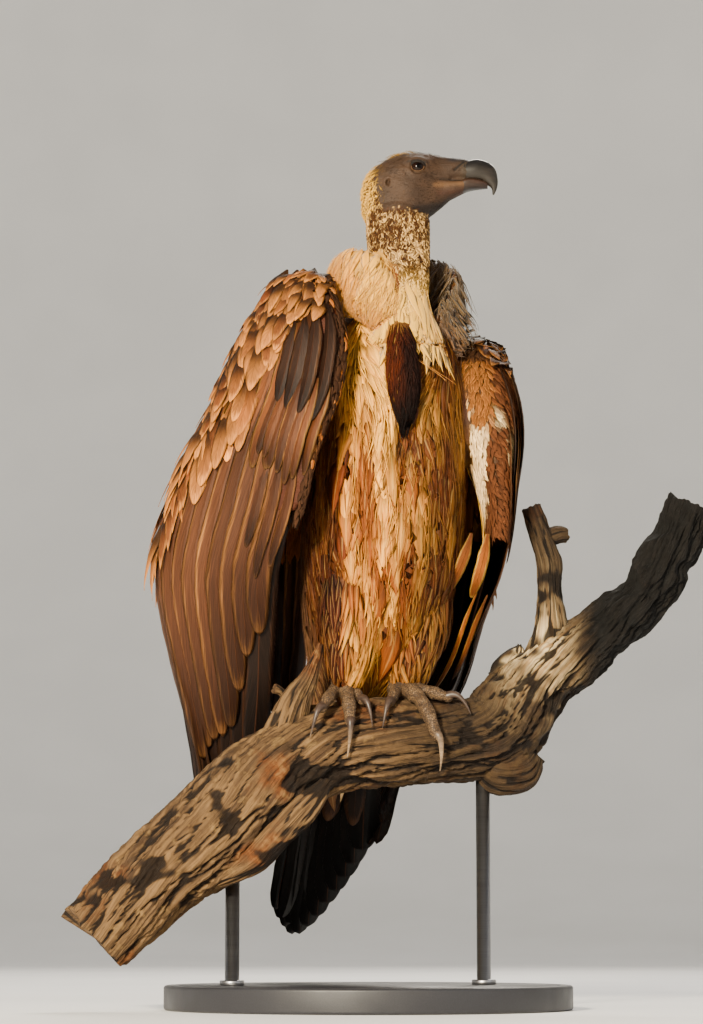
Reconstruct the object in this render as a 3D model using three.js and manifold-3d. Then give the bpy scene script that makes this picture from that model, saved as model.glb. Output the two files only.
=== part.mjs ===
// A white-backed vulture at life size, gripping a short cut length of dead branch on a plain display stand.
// Millimetres, +Z up. The origin is the centre of the stand's underside, and -Y is the side the bird faces.
// Each form is a loft or a plate worked out from a few rows of named sizes, and thin gaps part neighbours.
import * as THREE from "three";
import Module from "manifold-3d";

const wasm = await Module();
wasm.setup();

// ---------- driving dimensions ----------
const GAP = 0.35; // left between pieces that touch
const DEGREE = Math.PI / 180;
const STANCE = [20, 0, 305]; // between the feet, on top of the branch
const BODY_TURN = -62 * DEGREE; // turns the bird's own forward axis (+X) away from the row's +X
const PERCH_TURN = -78 * DEGREE; // the same for the branch, whose length runs along its own Y
const HEAD_AT = [12, -35, 513]; // skull centre, in a frame at the stance with the row's axes
const HEAD_TURN = -3 * DEGREE;
const LIMB_RADIUS = 45; // of the branch where the feet hold it
const BASE_RADIUS = 200;
const BASE_HEIGHT = 24;
const BASE_EDGE = 3; // chamfer round the base
const ROD_RADIUS = 7;
const EYE_RADIUS = 8.2;
const EYE_AT = [18.5, 20.8, 11.8]; // in the head's frame, left eye
const CURVE_STEP = 0.01; // along a curve, to read its direction
const SLOPE_STEP = 0.004; // over a plate, to read its slope
const SLIVER = 0.12; // detail that is smoothed off after a cut

// ---------- materials ----------
const paint = (color, roughness, metalness = 0) =>
  new THREE.MeshStandardMaterial({ color, roughness, metalness });
const BARE_SKIN = paint(0x4a3c31, 0.6);
const HORN = paint(0x2e2c2b, 0.35);
const DOWN = paint(0xb59f7c, 0.95);
const RUFF_DOWN = paint(0xd9a55c, 0.95);
const CROP_SKIN = paint(0x5a3118, 0.8);
const GOLD_PLUMAGE = paint(0xb87e3c, 0.9);
const BROWN_PLUMAGE = paint(0x8d6440, 0.8);
const FLIGHT_FEATHER = paint(0x4d3524, 0.7);
const SCALED_SKIN = paint(0x5d4c3c, 0.7);
const EYE_SHINE = paint(0x140c08, 0.08);
const DEAD_WOOD = paint(0x75593a, 0.9);
const STAND_PAINT = paint(0x26262a, 0.5);
const ROD_STEEL = paint(0x8c8c90, 0.35, 1);

// ---------- numbers along a row of stations ----------
/** Value at t (0 to 1, and a little beyond) on the smooth curve through evenly spaced rows of numbers. */
function along(rows, t) {
  const last = rows.length - 1;
  const u = t * last;
  const i = Math.min(Math.max(Math.floor(u), 0), last - 1);
  const f = u - i;
  const row = (k) => rows[Math.min(Math.max(k, 0), last)];
  return rows[0].map((_, c) => {
    const [a, b, d, e] = [row(i - 1)[c], row(i)[c], row(i + 1)[c], row(i + 2)[c]];
    const square = (2 * a - 5 * b + 4 * d - e) * f ** 2;
    const cube = (3 * b - a - 3 * d + e) * f ** 3;
    return 0.5 * (2 * b + (d - a) * f + square + cube);
  });
}

const vector = ([x, y, z]) => new THREE.Vector3(x, y, z);
const mix = (a, b, t) => a + (b - a) * t;
const smooth = (a, b, x) => THREE.MathUtils.smoothstep(x, a, b);
const steps = (n) => Array.from({ length: n + 1 }, (_, i) => i / n);
const held = (x) => Math.min(Math.max(x, 0), 1);
const alike = (x) => [x, x, x];
/** How far through its own feather a place across a row of feathers lies, from 0 to 1. */
const within = (share, feathers) => (share >= 1 ? 1 : (share * feathers) % 1);
/** Sine and cosine of the i-th corner of a ring. */
const corner = (i, sides) => [Math.sin((2 * Math.PI * i) / sides), Math.cos((2 * Math.PI * i) / sides)];
/** A sine or cosine raised to a power, its sign kept, which squares off a round section below 1. */
const squared = (x, power) => Math.sign(x) * Math.abs(x) ** power;
/** A single number read along evenly spaced values. */
const valueAlong = (values, t) => along(values.map((x) => [x]), t)[0];

// ---------- closed bodies ----------
/** A closed body from shared points and triangles, turned to face outwards. */
function bodyOf(points, triangles) {
  const vertProperties = new Float32Array(points.flatMap((p) => [p.x, p.y, p.z]));
  let volume = 0;
  for (let i = 0; i < triangles.length; i += 3) {
    const [a, b, c] = [0, 1, 2].map((k) => points[triangles[i + k]]);
    volume += a.dot(b.clone().cross(c));
  }
  const triVerts = new Uint32Array(volume < 0 ? triangles.toReversed() : triangles);
  return new wasm.Manifold(new wasm.Mesh({ numProp: 3, vertProperties, triVerts }));
}

/** A closed body from rings of points, each end closed by a fan to its middle. */
function skinOf(rings) {
  const sides = rings[0].length;
  const points = rings.flat();
  const triangles = [];
  for (let r = 0; r < rings.length - 1; r++) {
    for (let i = 0; i < sides; i++) {
      const a = r * sides + i;
      const b = r * sides + ((i + 1) % sides);
      triangles.push(a, b, b + sides, a, b + sides, a + sides);
    }
  }
  [[0, 1], [rings.length - 1, -1]].forEach(([r, way]) => {
    const middle = rings[r].reduce((sum, p) => sum.clone().add(p)).multiplyScalar(1 / sides);
    points.push(middle);
    for (let i = 0; i < sides; i++) {
      const [a, b] = [r * sides + i, r * sides + ((i + 1) % sides)];
      triangles.push(...(way > 0 ? [b, a, points.length - 1] : [a, b, points.length - 1]));
    }
  });
  return bodyOf(points, triangles);
}

/** How far an end ring moves out when a form is grown: back at the first, on at the last, else not. */
const endShift = (share, grow) => (share === 0 ? -grow : share === 1 ? grow : 0);

/** A loft along the curve through line. Rows of size hold half width, reach to the front and to the back. */
function loft({ line, size, count = 10, sides = 14, across = [0, 1, 0], grow = 0, square = 1 }) {
  const side = vector(across).normalize();
  const rings = steps(count).map((t) => {
    const [before, after] = [held(t - CURVE_STEP), held(t + CURVE_STEP)].map((u) => vector(along(line, u)));
    const ahead = after.sub(before).normalize();
    const centre = vector(along(line, t)).addScaledVector(ahead, endShift(t, grow));
    const wide = side.clone().addScaledVector(ahead, -side.dot(ahead)).normalize();
    const front = wide.clone().cross(ahead);
    const [half, toFront, toBack] = along(size, t).map((x) => x + grow);
    return Array.from({ length: sides }, (_, i) => {
      const [s, c] = corner(i, sides);
      const reach = c > 0 ? toFront : toBack;
      return centre.clone()
        .addScaledVector(wide, half * squared(s, square))
        .addScaledVector(front, reach * squared(c, square));
    });
  });
  return skinOf(rings);
}

/** A ball stretched to three radii. */
function ball(at, radii, grow = 0, sides = 12) {
  const rings = steps(sides / 2).slice(1, -1).map((f) => {
    const rise = Math.PI * (f - 0.5);
    return Array.from({ length: sides }, (_, i) => {
      const turn = (2 * Math.PI * i) / sides;
      return new THREE.Vector3(
        at[0] + (radii[0] + grow) * Math.cos(rise) * Math.cos(turn),
        at[1] + (radii[1] + grow) * Math.cos(rise) * Math.sin(turn),
        at[2] + (radii[2] + grow) * Math.sin(rise),
      );
    });
  });
  return skinOf(rings);
}

/**
 * A closed plate over a grid. place(s, t) gives its middle, thick(s, t) its thickness, and lift(s, t) how
 * far it stands out along its normal.
 */
function plate({ place, thick, lift = () => 0, columns: across, rows: down, grow = 0 }) {
  const pad = grow > 0 ? SLOPE_STEP : 0; // carries the grown copy past the plate's rim too
  const widened = (stops) => [stops[0] - pad, ...stops.slice(1, -1), stops.at(-1) + pad];
  const [columns, rows] = [widened(across), widened(down)];
  const normal = (s, t) => {
    const du = place(s + SLOPE_STEP, t).sub(place(s - SLOPE_STEP, t));
    const dv = place(s, t + SLOPE_STEP).sub(place(s, t - SLOPE_STEP));
    return du.cross(dv).normalize();
  };
  const [nc, nr] = [columns.length, rows.length];
  const standing = (s, t, way) => lift(s, t) + way * (thick(s, t) / 2 + grow);
  const pointAt = (s, t, way) => place(s, t).addScaledVector(normal(s, t), standing(s, t, way));
  const layer = (way) => columns.flatMap((s) => rows.map((t) => pointAt(s, t, way)));
  const points = [...layer(1), ...layer(-1)];
  const triangles = [];
  const quad = (a, b, c, d) => triangles.push(a, b, c, a, c, d);
  const at = (i, j, k) => k * nc * nr + i * nr + j;
  for (let i = 0; i < nc - 1; i++) {
    for (let j = 0; j < nr - 1; j++) {
      quad(at(i, j, 0), at(i + 1, j, 0), at(i + 1, j + 1, 0), at(i, j + 1, 0));
      quad(at(i, j, 1), at(i, j + 1, 1), at(i + 1, j + 1, 1), at(i + 1, j, 1));
    }
  }
  for (let i = 0; i < nc - 1; i++) {
    quad(at(i, 0, 0), at(i, 0, 1), at(i + 1, 0, 1), at(i + 1, 0, 0));
    quad(at(i, nr - 1, 0), at(i + 1, nr - 1, 0), at(i + 1, nr - 1, 1), at(i, nr - 1, 1));
  }
  for (let j = 0; j < nr - 1; j++) {
    quad(at(0, j, 0), at(0, j + 1, 0), at(0, j + 1, 1), at(0, j, 1));
    quad(at(nc - 1, j, 0), at(nc - 1, j, 1), at(nc - 1, j + 1, 1), at(nc - 1, j + 1, 0));
  }
  return bodyOf(points, triangles);
}

/** The largest single body of a solid, without slivers. */
function largest(solid) {
  const bodies = solid.simplify(SLIVER).decompose();
  return bodies.reduce((best, b) => (b.volume() > best.volume() ? b : best));
}

const union = (...solids) => solids.reduce((sum, s) => sum.add(s));
const cut = (solid, ...tools) => tools.reduce((left, tool) => left.subtract(tool), solid);

/** A frame at the stance: moved by at and turned about the vertical, for solids. */
const placed = (solid, at, turn) => solid.rotate([0, 0, turn / DEGREE]).translate(at);
const inBird = (solid) => placed(solid, STANCE, BODY_TURN);
const inPerch = (solid) => placed(solid, STANCE, PERCH_TURN);
const inHead = (solid) => placed(solid, STANCE.map((x, i) => x + HEAD_AT[i]), HEAD_TURN);

// ---------- trunk, thighs and neck ----------
// Bird frame: +X the way the breast faces, +Y its left, +Z up, origin at the stance.
const TRUNK_LINE = [
  [28, 0, 392], [14, 0, 345], [2, 0, 290], [-6, 0, 220], [-15, 0, 150], [-32, 0, 90], [-60, 0, 34],
  [-92, 0, -14], [-112, 0, -52],
];
const TRUNK_SIZE = [
  [38, 34, 40], [66, 60, 74], [78, 75, 88], [85, 85, 92], [86, 86, 88], [78, 78, 76], [60, 62, 56],
  [44, 36, 36], [34, 14, 16],
];
const trunkForm = (grow) => loft({ line: TRUNK_LINE, size: TRUNK_SIZE, count: 12, sides: 14, grow });

const THIGHS = {
  right: [[2, -40, 120], [8, -46, 74], [8, -48, 34], [4, -50, 12]],
  left: [[2, 38, 120], [8, 32, 74], [8, 22, 34], [4, 14, 12]],
};
const THIGH_SIZE = [[38, 40, 36], [35, 38, 32], [27, 28, 24], [20, 20, 17]];
const thighForm = (name, grow) => loft({ line: THIGHS[name], size: THIGH_SIZE, count: 5, sides: 10, grow });

const CROP_LINE = [[63, -16, 372], [72, -19, 335], [80, -22, 295], [80, -22, 262]];
const CROP_SIZE = [[15, 12, 16], [20, 13, 20], [21, 13, 22], [12, 8, 16]];
const cropForm = (grow) => loft({ line: CROP_LINE, size: CROP_SIZE, count: 5, sides: 10, grow });

const NECK_LINE = [
  [42, -6, 348], [44, -8, 388], [41, -8, 424], [37, -8, 458], [36, -8, 484], [36, -8, 500],
];
const NECK_SIZE = [[46, 38, 42], [30, 29, 31], [32, 31, 32], [34, 33, 34], [33, 32, 33], [20, 20, 20]];
const neckForm = (grow) => loft({ line: NECK_LINE, size: NECK_SIZE, count: 7, sides: 12, grow });

// The ruff is a horseshoe round the foot of the neck, from its right front round the back to its left front.
const RUFF_LINE = [
  [58, -34, 370], [42, -52, 406], [14, -54, 412], [-18, -36, 422], [-30, 0, 428], [-18, 38, 430],
  [6, 58, 422], [36, 54, 396], [50, 36, 356],
];
const RUFF_SIZE = [
  [26, 14, 12], [43, 27, 20], [40, 27, 20], [32, 22, 18], [30, 20, 18], [32, 20, 18], [34, 21, 18],
  [38, 17, 14], [26, 10, 10],
];
const ruffForm = (grow) =>
  loft({ line: RUFF_LINE, size: RUFF_SIZE, across: [0, 0, 1], count: 11, sides: 8, grow });

// ---------- head and bill ----------
// Head frame: +X towards the bill, +Y its left, +Z up. Rows: x, top, bottom, half width.
const SKULL = [
  [-37, -6, -28, 8], [-33, 6, -37, 17], [-24, 17, -42, 24], [-12, 25, -44, 28], [2, 30.5, -44, 29.5],
  [16, 31.8, -41, 28], [28, 31, -35, 23], [39, 29, -27, 17.5], [50, 26, -17.5, 13],
];
const CERE = [[50.4, 26, 5, 12.8], [58, 25.6, 5, 12], [66, 24.6, 5, 11.2]];
const LOWER_BILL = [
  [50.4, 4.4, -17, 12.4], [60, 4.4, -11.4, 11.4], [69, 4.6, -7.4, 10.4], [78, 3.2, -6.2, 8.4],
  [88, -1.4, -5.4, 4],
];
const SKULL_WIDEST = 0.56; // share of the height, from the bottom, where the skull is widest
const CERE_WIDEST = 0.3;
const LOWER_BILL_WIDEST = 0.6;
const PROFILE_SQUARE = 0.85; // below 1 the sections fill out towards an oblong
/** Closed body through profile rows, egg-shaped in section: widest is a share of the height. */
function profileForm(rows, { count, sides, widest, grow = 0 }) {
  const rings = steps(count).map((t) => {
    const [x, top, bottom, half] = along(rows, t);
    const middle = mix(bottom, top, widest);
    return Array.from({ length: sides }, (_, i) => {
      const [s, c] = corner(i, sides);
      const height = (c > 0 ? top - middle : middle - bottom) + grow;
      return new THREE.Vector3(
        x + endShift(t, grow),
        (half + grow) * squared(s, PROFILE_SQUARE),
        middle + height * squared(c, PROFILE_SQUARE),
      );
    });
  });
  return skinOf(rings);
}
const skullForm = (grow) => profileForm(SKULL, { count: 12, sides: 14, widest: SKULL_WIDEST, grow });
const cereForm = (grow) => profileForm(CERE, { count: 2, sides: 12, widest: CERE_WIDEST, grow });
const lowerBillForm = (grow) =>
  profileForm(LOWER_BILL, { count: 6, sides: 10, widest: LOWER_BILL_WIDEST, grow });

// The upper bill is lofted down its hook.
const UPPER_BILL = {
  line: [[66.4, 0, 13], [77, 0, 13], [86, 0, 9], [92, 0, 1.5], [94.4, 0, -5], [93.6, 0, -11.8]],
  size: [[11.2, 11.5, 9], [10.6, 11.2, 11.5], [8.6, 9, 11.5], [5.4, 5.6, 7], [3, 2.8, 3], [0.8, 0.8, 0.8]],
};
const upperBillForm = (grow) => loft({ ...UPPER_BILL, count: 10, sides: 12, square: 0.9, grow });

// ---------- wings ----------
// A wing hangs like a cloak. Rows from the wrist down to the tips: height, then the leading edge, the
// outermost line and the inner back edge, each as x and y. The right wing is held further forward and out.
const RIGHT_WING = [
  [408, 34, -92, -12, -116, -60, -78], [350, 62, -96, -50, -138, -106, -34],
  [292, 64, -105, -76, -152, -128, -16], [234, 54, -123, -96, -174, -140, -10],
  [176, 36, -130, -108, -193, -147, -9], [118, 6, -134, -113, -198, -151, -10],
  [60, -24, -121, -117, -185, -153, -14], [2, -50, -108, -124, -166, -156, -22],
  [-56, -84, -94, -140, -146, -167, -28], [-114, -120, -72, -156, -122, -178, -28],
  [-176, -154, -42, -174, -68, -188, -24],
];
const LEFT_WING = [
  [364, 14, 82, -30, 98, -60, 70], [318, 46, 78, -54, 124, -104, 28], [270, 58, 84, -70, 144, -122, 14],
  [222, 60, 89, -80, 153, -134, 10], [174, 58, 94, -88, 157, -141, 9], [126, 38, 99, -94, 153, -145, 10],
  [78, 8, 101, -102, 147, -147, 15], [26, -28, 105, -112, 138, -150, 23],
  [-26, -76, 100, -132, 122, -160, 32], [-78, -120, 86, -148, 86, -169, 44],
  [-130, -142, 80, -162, 68, -180, 44],
];
// side is -1 for the right wing, edge is the leading edge's thickness, nose is how far it stands forward,
// and hem is where the coverts end, front to back.
const WINGS = {
  right: { rows: RIGHT_WING, side: -1, edge: 46, nose: 0.06, hem: [0.42, 0.43, 0.46, 0.44, 0.4] },
  left: { rows: LEFT_WING, side: 1, edge: 76, nose: 0.1, hem: [0.43, 0.44, 0.44, 0.42, 0.4] },
};
const ARM_BACK = 20; // thickness of the arm behind its leading edge
const ARM_THINNING = 0.42; // share of the thickness left at the hem
const ARM_LEAST = 1.5;
const SHOULDER_RISE = 7; // how far the top bows up between its front and its back
const SCALLOPS = 7; // round the hem of the coverts
const SCALLOP_DEPTH = 0.02;

/** Point of a wing's middle surface: s from the leading edge (0) to the back (1), t from top to tips. */
function wingPoint(rows, s, t) {
  const [z, lx, ly, mx, my, bx, by] = along(rows, t);
  const [x, y] = along([[lx, ly], [mx, my], [bx, by]], held(s));
  const ahead = 2 * Math.min(s, 0);
  const past = 2 * Math.max(s - 1, 0);
  const carried = [ahead * (mx - lx) + past * (bx - mx), ahead * (my - ly) + past * (by - my)];
  return new THREE.Vector3(x + carried[0], y + carried[1], z);
}

/** Height over a round nose at its first stretch, as a share of the full height. */
function nosed(x, reach) {
  const short = (reach - Math.min(x, reach)) / (reach * 1.03);
  return Math.sqrt(Math.max(1 - short ** 2, 0.03));
}

/** Where the coverts end, as t for each s. */
const hemOf = (wing, s) => valueAlong(wing.hem, s);

/** The arm with its coverts: round at the leading edge, thin to the back and the hem, which is scalloped. */
function covertsForm(wing, grow = 0) {
  const place = (s, t) => {
    const scallop = SCALLOP_DEPTH * Math.abs(Math.cos(SCALLOPS * Math.PI * s)) * smooth(0.5, 1, t);
    const rise = SHOULDER_RISE * Math.sin(Math.PI * held(s)) * (1 - smooth(0, 0.12, t));
    const forward = wing.nose * (1 - smooth(0, 0.12, s));
    const point = wingPoint(wing.rows, s - forward, t * (hemOf(wing, s) + scallop));
    return point.setZ(point.z + rise);
  };
  const thick = (s, t) => {
    const arm = mix(wing.edge, ARM_BACK, smooth(0.04, 0.5, s)) * nosed(s, 0.1) * nosed(t, 0.12);
    return arm * mix(1, ARM_THINNING, smooth(0.35, 1, t)) + ARM_LEAST;
  };
  const columns = [0, 0.015, 0.045, ...steps(9).map((f) => mix(0.1, 1, f))];
  const rows = [0, 0.02, 0.06, 0.12, 0.3, 0.48, 0.66, 0.84, 1];
  return plate({ place, thick, columns, rows, grow });
}

const FEATHER_STEP = 3; // how far each feather stands over the next at its edge
const FEATHER_TIP = 2.2; // thickness of a row of feathers at its tips
const FEATHER_ROUNDING = 0.16; // how far a tip falls back at its sides, as a share of the row's length
/** A row of long overlapped feathers hung from the coverts: one plate with a stepped face and round tips. */
function feathersForm(wing, { first, last, feathers, from, tips, thickness, inset, narrow = 0, grow = 0 }) {
  const side = (f) => 2 * within(f, feathers) - 1;
  const reach = (f) => mix(from(f), valueAlong(tips, f), 1 - FEATHER_ROUNDING * side(f) ** 2);
  const sOf = (f, t) => mix(mix(first, last, f), mix(first, last, 0.5), narrow * t);
  const place = (f, t) => wingPoint(wing.rows, sOf(f, t), mix(from(f), reach(f), t));
  const stepOut = (f, t) => 0.5 * FEATHER_STEP * side(f) * (0.3 + 0.7 * t);
  const lift = (f, t) => -wing.side * (stepOut(f, t) - inset * (1 - 0.75 * t));
  const thick = (f, t) => mix(thickness, FEATHER_TIP, smooth(0.3, 1, t));
  return plate({ place, thick, lift, columns: steps(feathers * 2), rows: [0, 0.4, 0.75, 1], grow });
}

// first and last are the row's ends round the wing, and tips is where its feathers end, front to back.
const SECONDARIES = {
  right: { first: 0.1, last: 0.98, feathers: 9, tips: [0.6, 0.74, 0.79, 0.74, 0.66, 0.7, 0.72] },
  left: { first: 0.06, last: 0.98, feathers: 8, tips: [0.62, 0.72, 0.74, 0.7, 0.66, 0.68, 0.7] },
};
const PRIMARIES = {
  right: { first: 0.03, last: 0.8, feathers: 7, tips: [0.82, 0.92, 0.98, 1, 0.97, 0.93, 0.88] },
  left: { first: 0.02, last: 0.86, feathers: 7, tips: [0.94, 1, 1, 0.98, 0.95, 0.9, 0.86] },
};
const SECONDARY_ROOM = { thickness: 5.5, inset: 7 }; // inset is how far the roots lie inside the surface
const PRIMARY_ROOM = { thickness: 7, inset: 14, narrow: 0.12 };
const UNDER_HEM = 0.06; // how far secondaries run up under the coverts
const PRIMARY_ROOTS = 0.5;
/** Secondaries hang from the hem of the coverts. */
function secondariesForm(name, grow) {
  const row = SECONDARIES[name];
  const wing = WINGS[name];
  const from = (f) => hemOf(wing, mix(row.first, row.last, f)) - UNDER_HEM;
  return feathersForm(wing, { ...row, ...SECONDARY_ROOM, from, grow });
}
/** Primaries lie inside the secondaries and run on to the tail. */
const primariesForm = (name, grow) =>
  feathersForm(WINGS[name], { ...PRIMARIES[name], ...PRIMARY_ROOM, from: () => PRIMARY_ROOTS, grow });

// ---------- mantle ----------
// The shield of back feathers over the roots of both wings. Rows from the ruff down: height, then the right
// edge, the middle and the left edge, each as x and y.
const MANTLE = [
  [412, -46, -90, -60, 0, -46, 84], [362, -100, -110, -116, 0, -92, 98],
  [308, -128, -102, -142, 0, -124, 96], [254, -147, -82, -155, 0, -145, 78],
  [200, -162, -46, -166, 0, -160, 44],
];
const MANTLE_FEATHERS = 6;
const MANTLE_THICK = { top: 22, hem: 5, sides: 0.4 }; // sides is the share left at the right and left edges
const MANTLE_RISE = 0.34; // how far the hem rises to the sides, as a share of the height
const MANTLE_SCALLOP = 0.05;
function mantleForm(grow) {
  const place = (s, t) => {
    const scallop = MANTLE_SCALLOP * Math.abs(2 * within(s, MANTLE_FEATHERS) - 1);
    const hem = 1 - MANTLE_RISE * (2 * s - 1) ** 2 - scallop;
    const [z, rx, ry, cx, cy, lx, ly] = along(MANTLE, t * hem);
    const [x, y] = along([[rx, ry], [cx, cy], [lx, ly]], s);
    return new THREE.Vector3(x, y, z);
  };
  const { top, hem, sides } = MANTLE_THICK;
  const thick = (s, t) => mix(top, hem, t) * mix(1, sides, (2 * s - 1) ** 4);
  return plate({ place, thick, columns: steps(MANTLE_FEATHERS * 2), rows: steps(4), grow });
}

// ---------- tail ----------
const TAIL_FEATHERS = 8;
const TAIL_ROOT = { at: [-106, 2, -22], half: 34 };
const TAIL_END = { at: [-188, 20, -206], half: 54 };
const TAIL_TIPS = [0.98, 1.08, 1.15, 1.08, 0.94, 0.79, 0.64];
const TAIL_BOW = 8; // how far the middle stands behind the sides
const TAIL_THICK = { root: 10, tip: 3 };
const TAIL_ROUNDING = 0.07;
/** Point of the folded tail: f across from its right to its left, t from the root to the longest tip. */
function tailPoint(f, t) {
  const centre = vector(TAIL_ROOT.at).lerp(vector(TAIL_END.at), t);
  const side = 2 * f - 1;
  const half = mix(TAIL_ROOT.half, TAIL_END.half, t);
  return centre.add(new THREE.Vector3(-TAIL_BOW * (1 - side ** 2), half * side, 0));
}
function tailForm(grow) {
  const side = (f) => 2 * within(f, TAIL_FEATHERS) - 1;
  const reach = (f) => valueAlong(TAIL_TIPS, f) * (1 - TAIL_ROUNDING * side(f) ** 2);
  const place = (f, t) => tailPoint(f, t * reach(f));
  const thick = (f, t) => mix(TAIL_THICK.root, TAIL_THICK.tip, t);
  const lift = (f, t) => 0.5 * FEATHER_STEP * side(f) * t;
  return plate({ place, thick, lift, columns: steps(TAIL_FEATHERS * 2), rows: steps(3), grow });
}

// ---------- perch ----------
// Perch frame: +Y along the branch towards its fork, +X to the front, origin at the stance.
const LIMB = {
  line: [
    [2, -290, -236], [4, -232, -178], [6, -180, -138], [2, -122, -84], [-2, -62, -52], [0, 0, -45],
    [0, 52, -44], [-2, 99, -37], [-4, 129, -14], [-4, 157, 17], [-2, 188, 43], [2, 221, 71], [6, 270, 118],
    [8, 314, 196],
  ],
  size: [
    [40, 36, 36], [46, 40, 42], [50, 46, 46], [50, 48, 48], [45, 46, 46], [45, 45, 45], [41, 43, 43],
    [43, 44, 44], [46, 38, 38], [39, 35, 35], [34, 33, 33], [31, 30, 30], [30, 28, 28], [28, 26, 26],
  ],
};
const STUB = {
  line: [
    [-4, 158, 10], [-4, 168, 50], [-3, 169, 84], [-2, 168, 114], [0, 166, 142], [3, 156, 170], [5, 147, 194],
  ],
  size: [[30, 30, 30], [25, 22, 22], [16, 16, 16], [13.5, 13.5, 13.5], [13.5, 13.5, 13.5], [12, 12, 12],
    [10.5, 10.5, 10.5]],
  across: [0, 1, 0],
};
const SPUR = {
  line: [[6, -112, -60], [12, -97, -10], [14, -82, 20], [16, -71, 50]],
  size: [[26, 18, 18], [17, 11, 11], [9, 7, 7], [3.5, 3.5, 3.5]],
  across: [0, 1, 0],
};
const TWIG = { line: [[6, -100, -6], [8, -110, 4], [10, -117, 7]], size: [[4, 4, 4], [4, 4, 4], [5, 5, 5]] };
const KNOT = {
  line: [[0, 164, 164], [-1, 176, 168], [-2, 185, 168]],
  size: [[10, 10, 10], [10, 10, 10], [8, 8, 8]],
};
const FLANGE = {
  line: [[26, -178, -184], [34, -140, -160], [38, -98, -118], [34, -70, -86]],
  size: [[6, 9, 9], [14, 16, 12], [15, 18, 12], [8, 12, 10]],
};
const KNUCKLE = { at: [4, 120, -60], radii: [32, 26, 24] };
const SNAG = { at: [-22, 132, 34], radii: [18, 15, 24] };
const HOLLOW = { at: [54, -116, -110], radii: [28, 34, 20] };
/** The whole branch: limb, fork, spur, knot and the torn flange round its hollow. */
function perchForm(grow) {
  const wood = (bough, count, sides) => loft({ across: [0, 0, 1], ...bough, count, sides, grow });
  return union(
    wood(LIMB, 19, 12),
    wood(STUB, 7, 8),
    wood(SPUR, 3, 6),
    wood(TWIG, 2, 6),
    wood(KNOT, 2, 6),
    wood(FLANGE, 4, 6),
    ball(KNUCKLE.at, KNUCKLE.radii, grow, 8),
    ball(SNAG.at, SNAG.radii, grow, 8),
  ).subtract(ball(HOLLOW.at, HOLLOW.radii, -grow, 10));
}

// ---------- legs ----------
// Toes in the perch frame, over the round of the branch. swing turns a toe from straight ahead towards the
// bird's left, length runs from the foot's middle to the claw's root, and way is -1 for the one behind.
const FEET = {
  right: {
    y: -46,
    ankle: [-26, -50, 70],
    toes: {
      inner: { swing: 19, length: 42, radius: 6, way: 1 },
      middle: { swing: -3, length: 70, radius: 7.4, way: 1 },
      outer: { swing: -31, length: 62, radius: 6.6, way: 1 },
      hind: { swing: -6, length: 40, radius: 6.4, way: -1 },
    },
  },
  left: {
    y: 12,
    ankle: [-26, 14, 70],
    toes: {
      inner: { swing: -25, length: 46, radius: 6, way: 1 },
      middle: { swing: 17, length: 88, radius: 7.8, way: 1 },
      outer: { swing: 56, length: 56, radius: 6.8, way: 1 },
      hind: { swing: 6, length: 40, radius: 6.4, way: -1 },
    },
  },
};
const SHANK_SIZE = [[9, 9, 10], [7.6, 8, 8], [10, 11, 11]];
const FOOT_PAD = { height: 9, radii: [15, 13, 10] };
const TOE_CLEARANCE = 0.6; // over the wood, which the cut with the branch takes up where it bulges
const TOE_ARCH = 3;
const CLAW_LENGTH = 24;
const CLAW_ARCH = 5;
const CLAW_ROOM = 4; // how far a claw's root lies back inside its toe
const CLAW_GAP = 1.4 * GAP;
/** Point on a toe's middle line at a distance from the foot's middle, at a height over the branch. */
function toePoint(foot, toe, distance, height) {
  const swing = toe.swing * DEGREE;
  const round = LIMB_RADIUS + height;
  const turn = (toe.way * distance * Math.cos(swing)) / round;
  const y = foot.y + distance * Math.sin(swing);
  return [round * Math.sin(turn), y, round * Math.cos(turn) - LIMB_RADIUS];
}
function toeForm(foot, toe, grow) {
  const height = (f) => toe.radius + TOE_CLEARANCE + TOE_ARCH * Math.sin(Math.PI * f) ** 2 * (1 - f);
  const line = steps(5).map((f) => toePoint(foot, toe, f * toe.length, height(f)));
  const size = steps(5).map((f) => alike(toe.radius * mix(1.1, 0.72, f)));
  return loft({ line, size, count: 4, sides: 6, grow });
}
function clawForm(foot, toe, grow = 0) {
  const height = (f) => mix(toe.radius + 1, 0.8, f ** 1.4) + CLAW_ARCH * Math.sin(Math.PI * f);
  const line = steps(4).map((f) => toePoint(foot, toe, toe.length - CLAW_ROOM + f * CLAW_LENGTH, height(f)));
  const size = steps(4).map((f) => alike(mix(4.6, 0.7, f)));
  return loft({ line, size, count: 3, sides: 6, grow });
}
/** Shank, foot pad and four toes, in the perch frame. */
function legForm(name, grow) {
  const foot = FEET[name];
  const knee = [-16, mix(foot.ankle[1], foot.y, 0.5), 42];
  const line = [foot.ankle, knee, [-3, foot.y, 12]];
  const shank = loft({ line, size: SHANK_SIZE, count: 3, sides: 7, grow });
  const pad = ball([0, foot.y, FOOT_PAD.height], FOOT_PAD.radii, grow, 8);
  return union(shank, pad, ...Object.values(foot.toes).map((toe) => toeForm(foot, toe, grow)));
}

// ---------- stand ----------
const RODS = { left: { y: -156, x: 2, top: -150 }, right: { y: 96, x: 0, top: -62 } };
const BASE_SIDES = 32;
const ROD_SIDES = 12;
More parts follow.
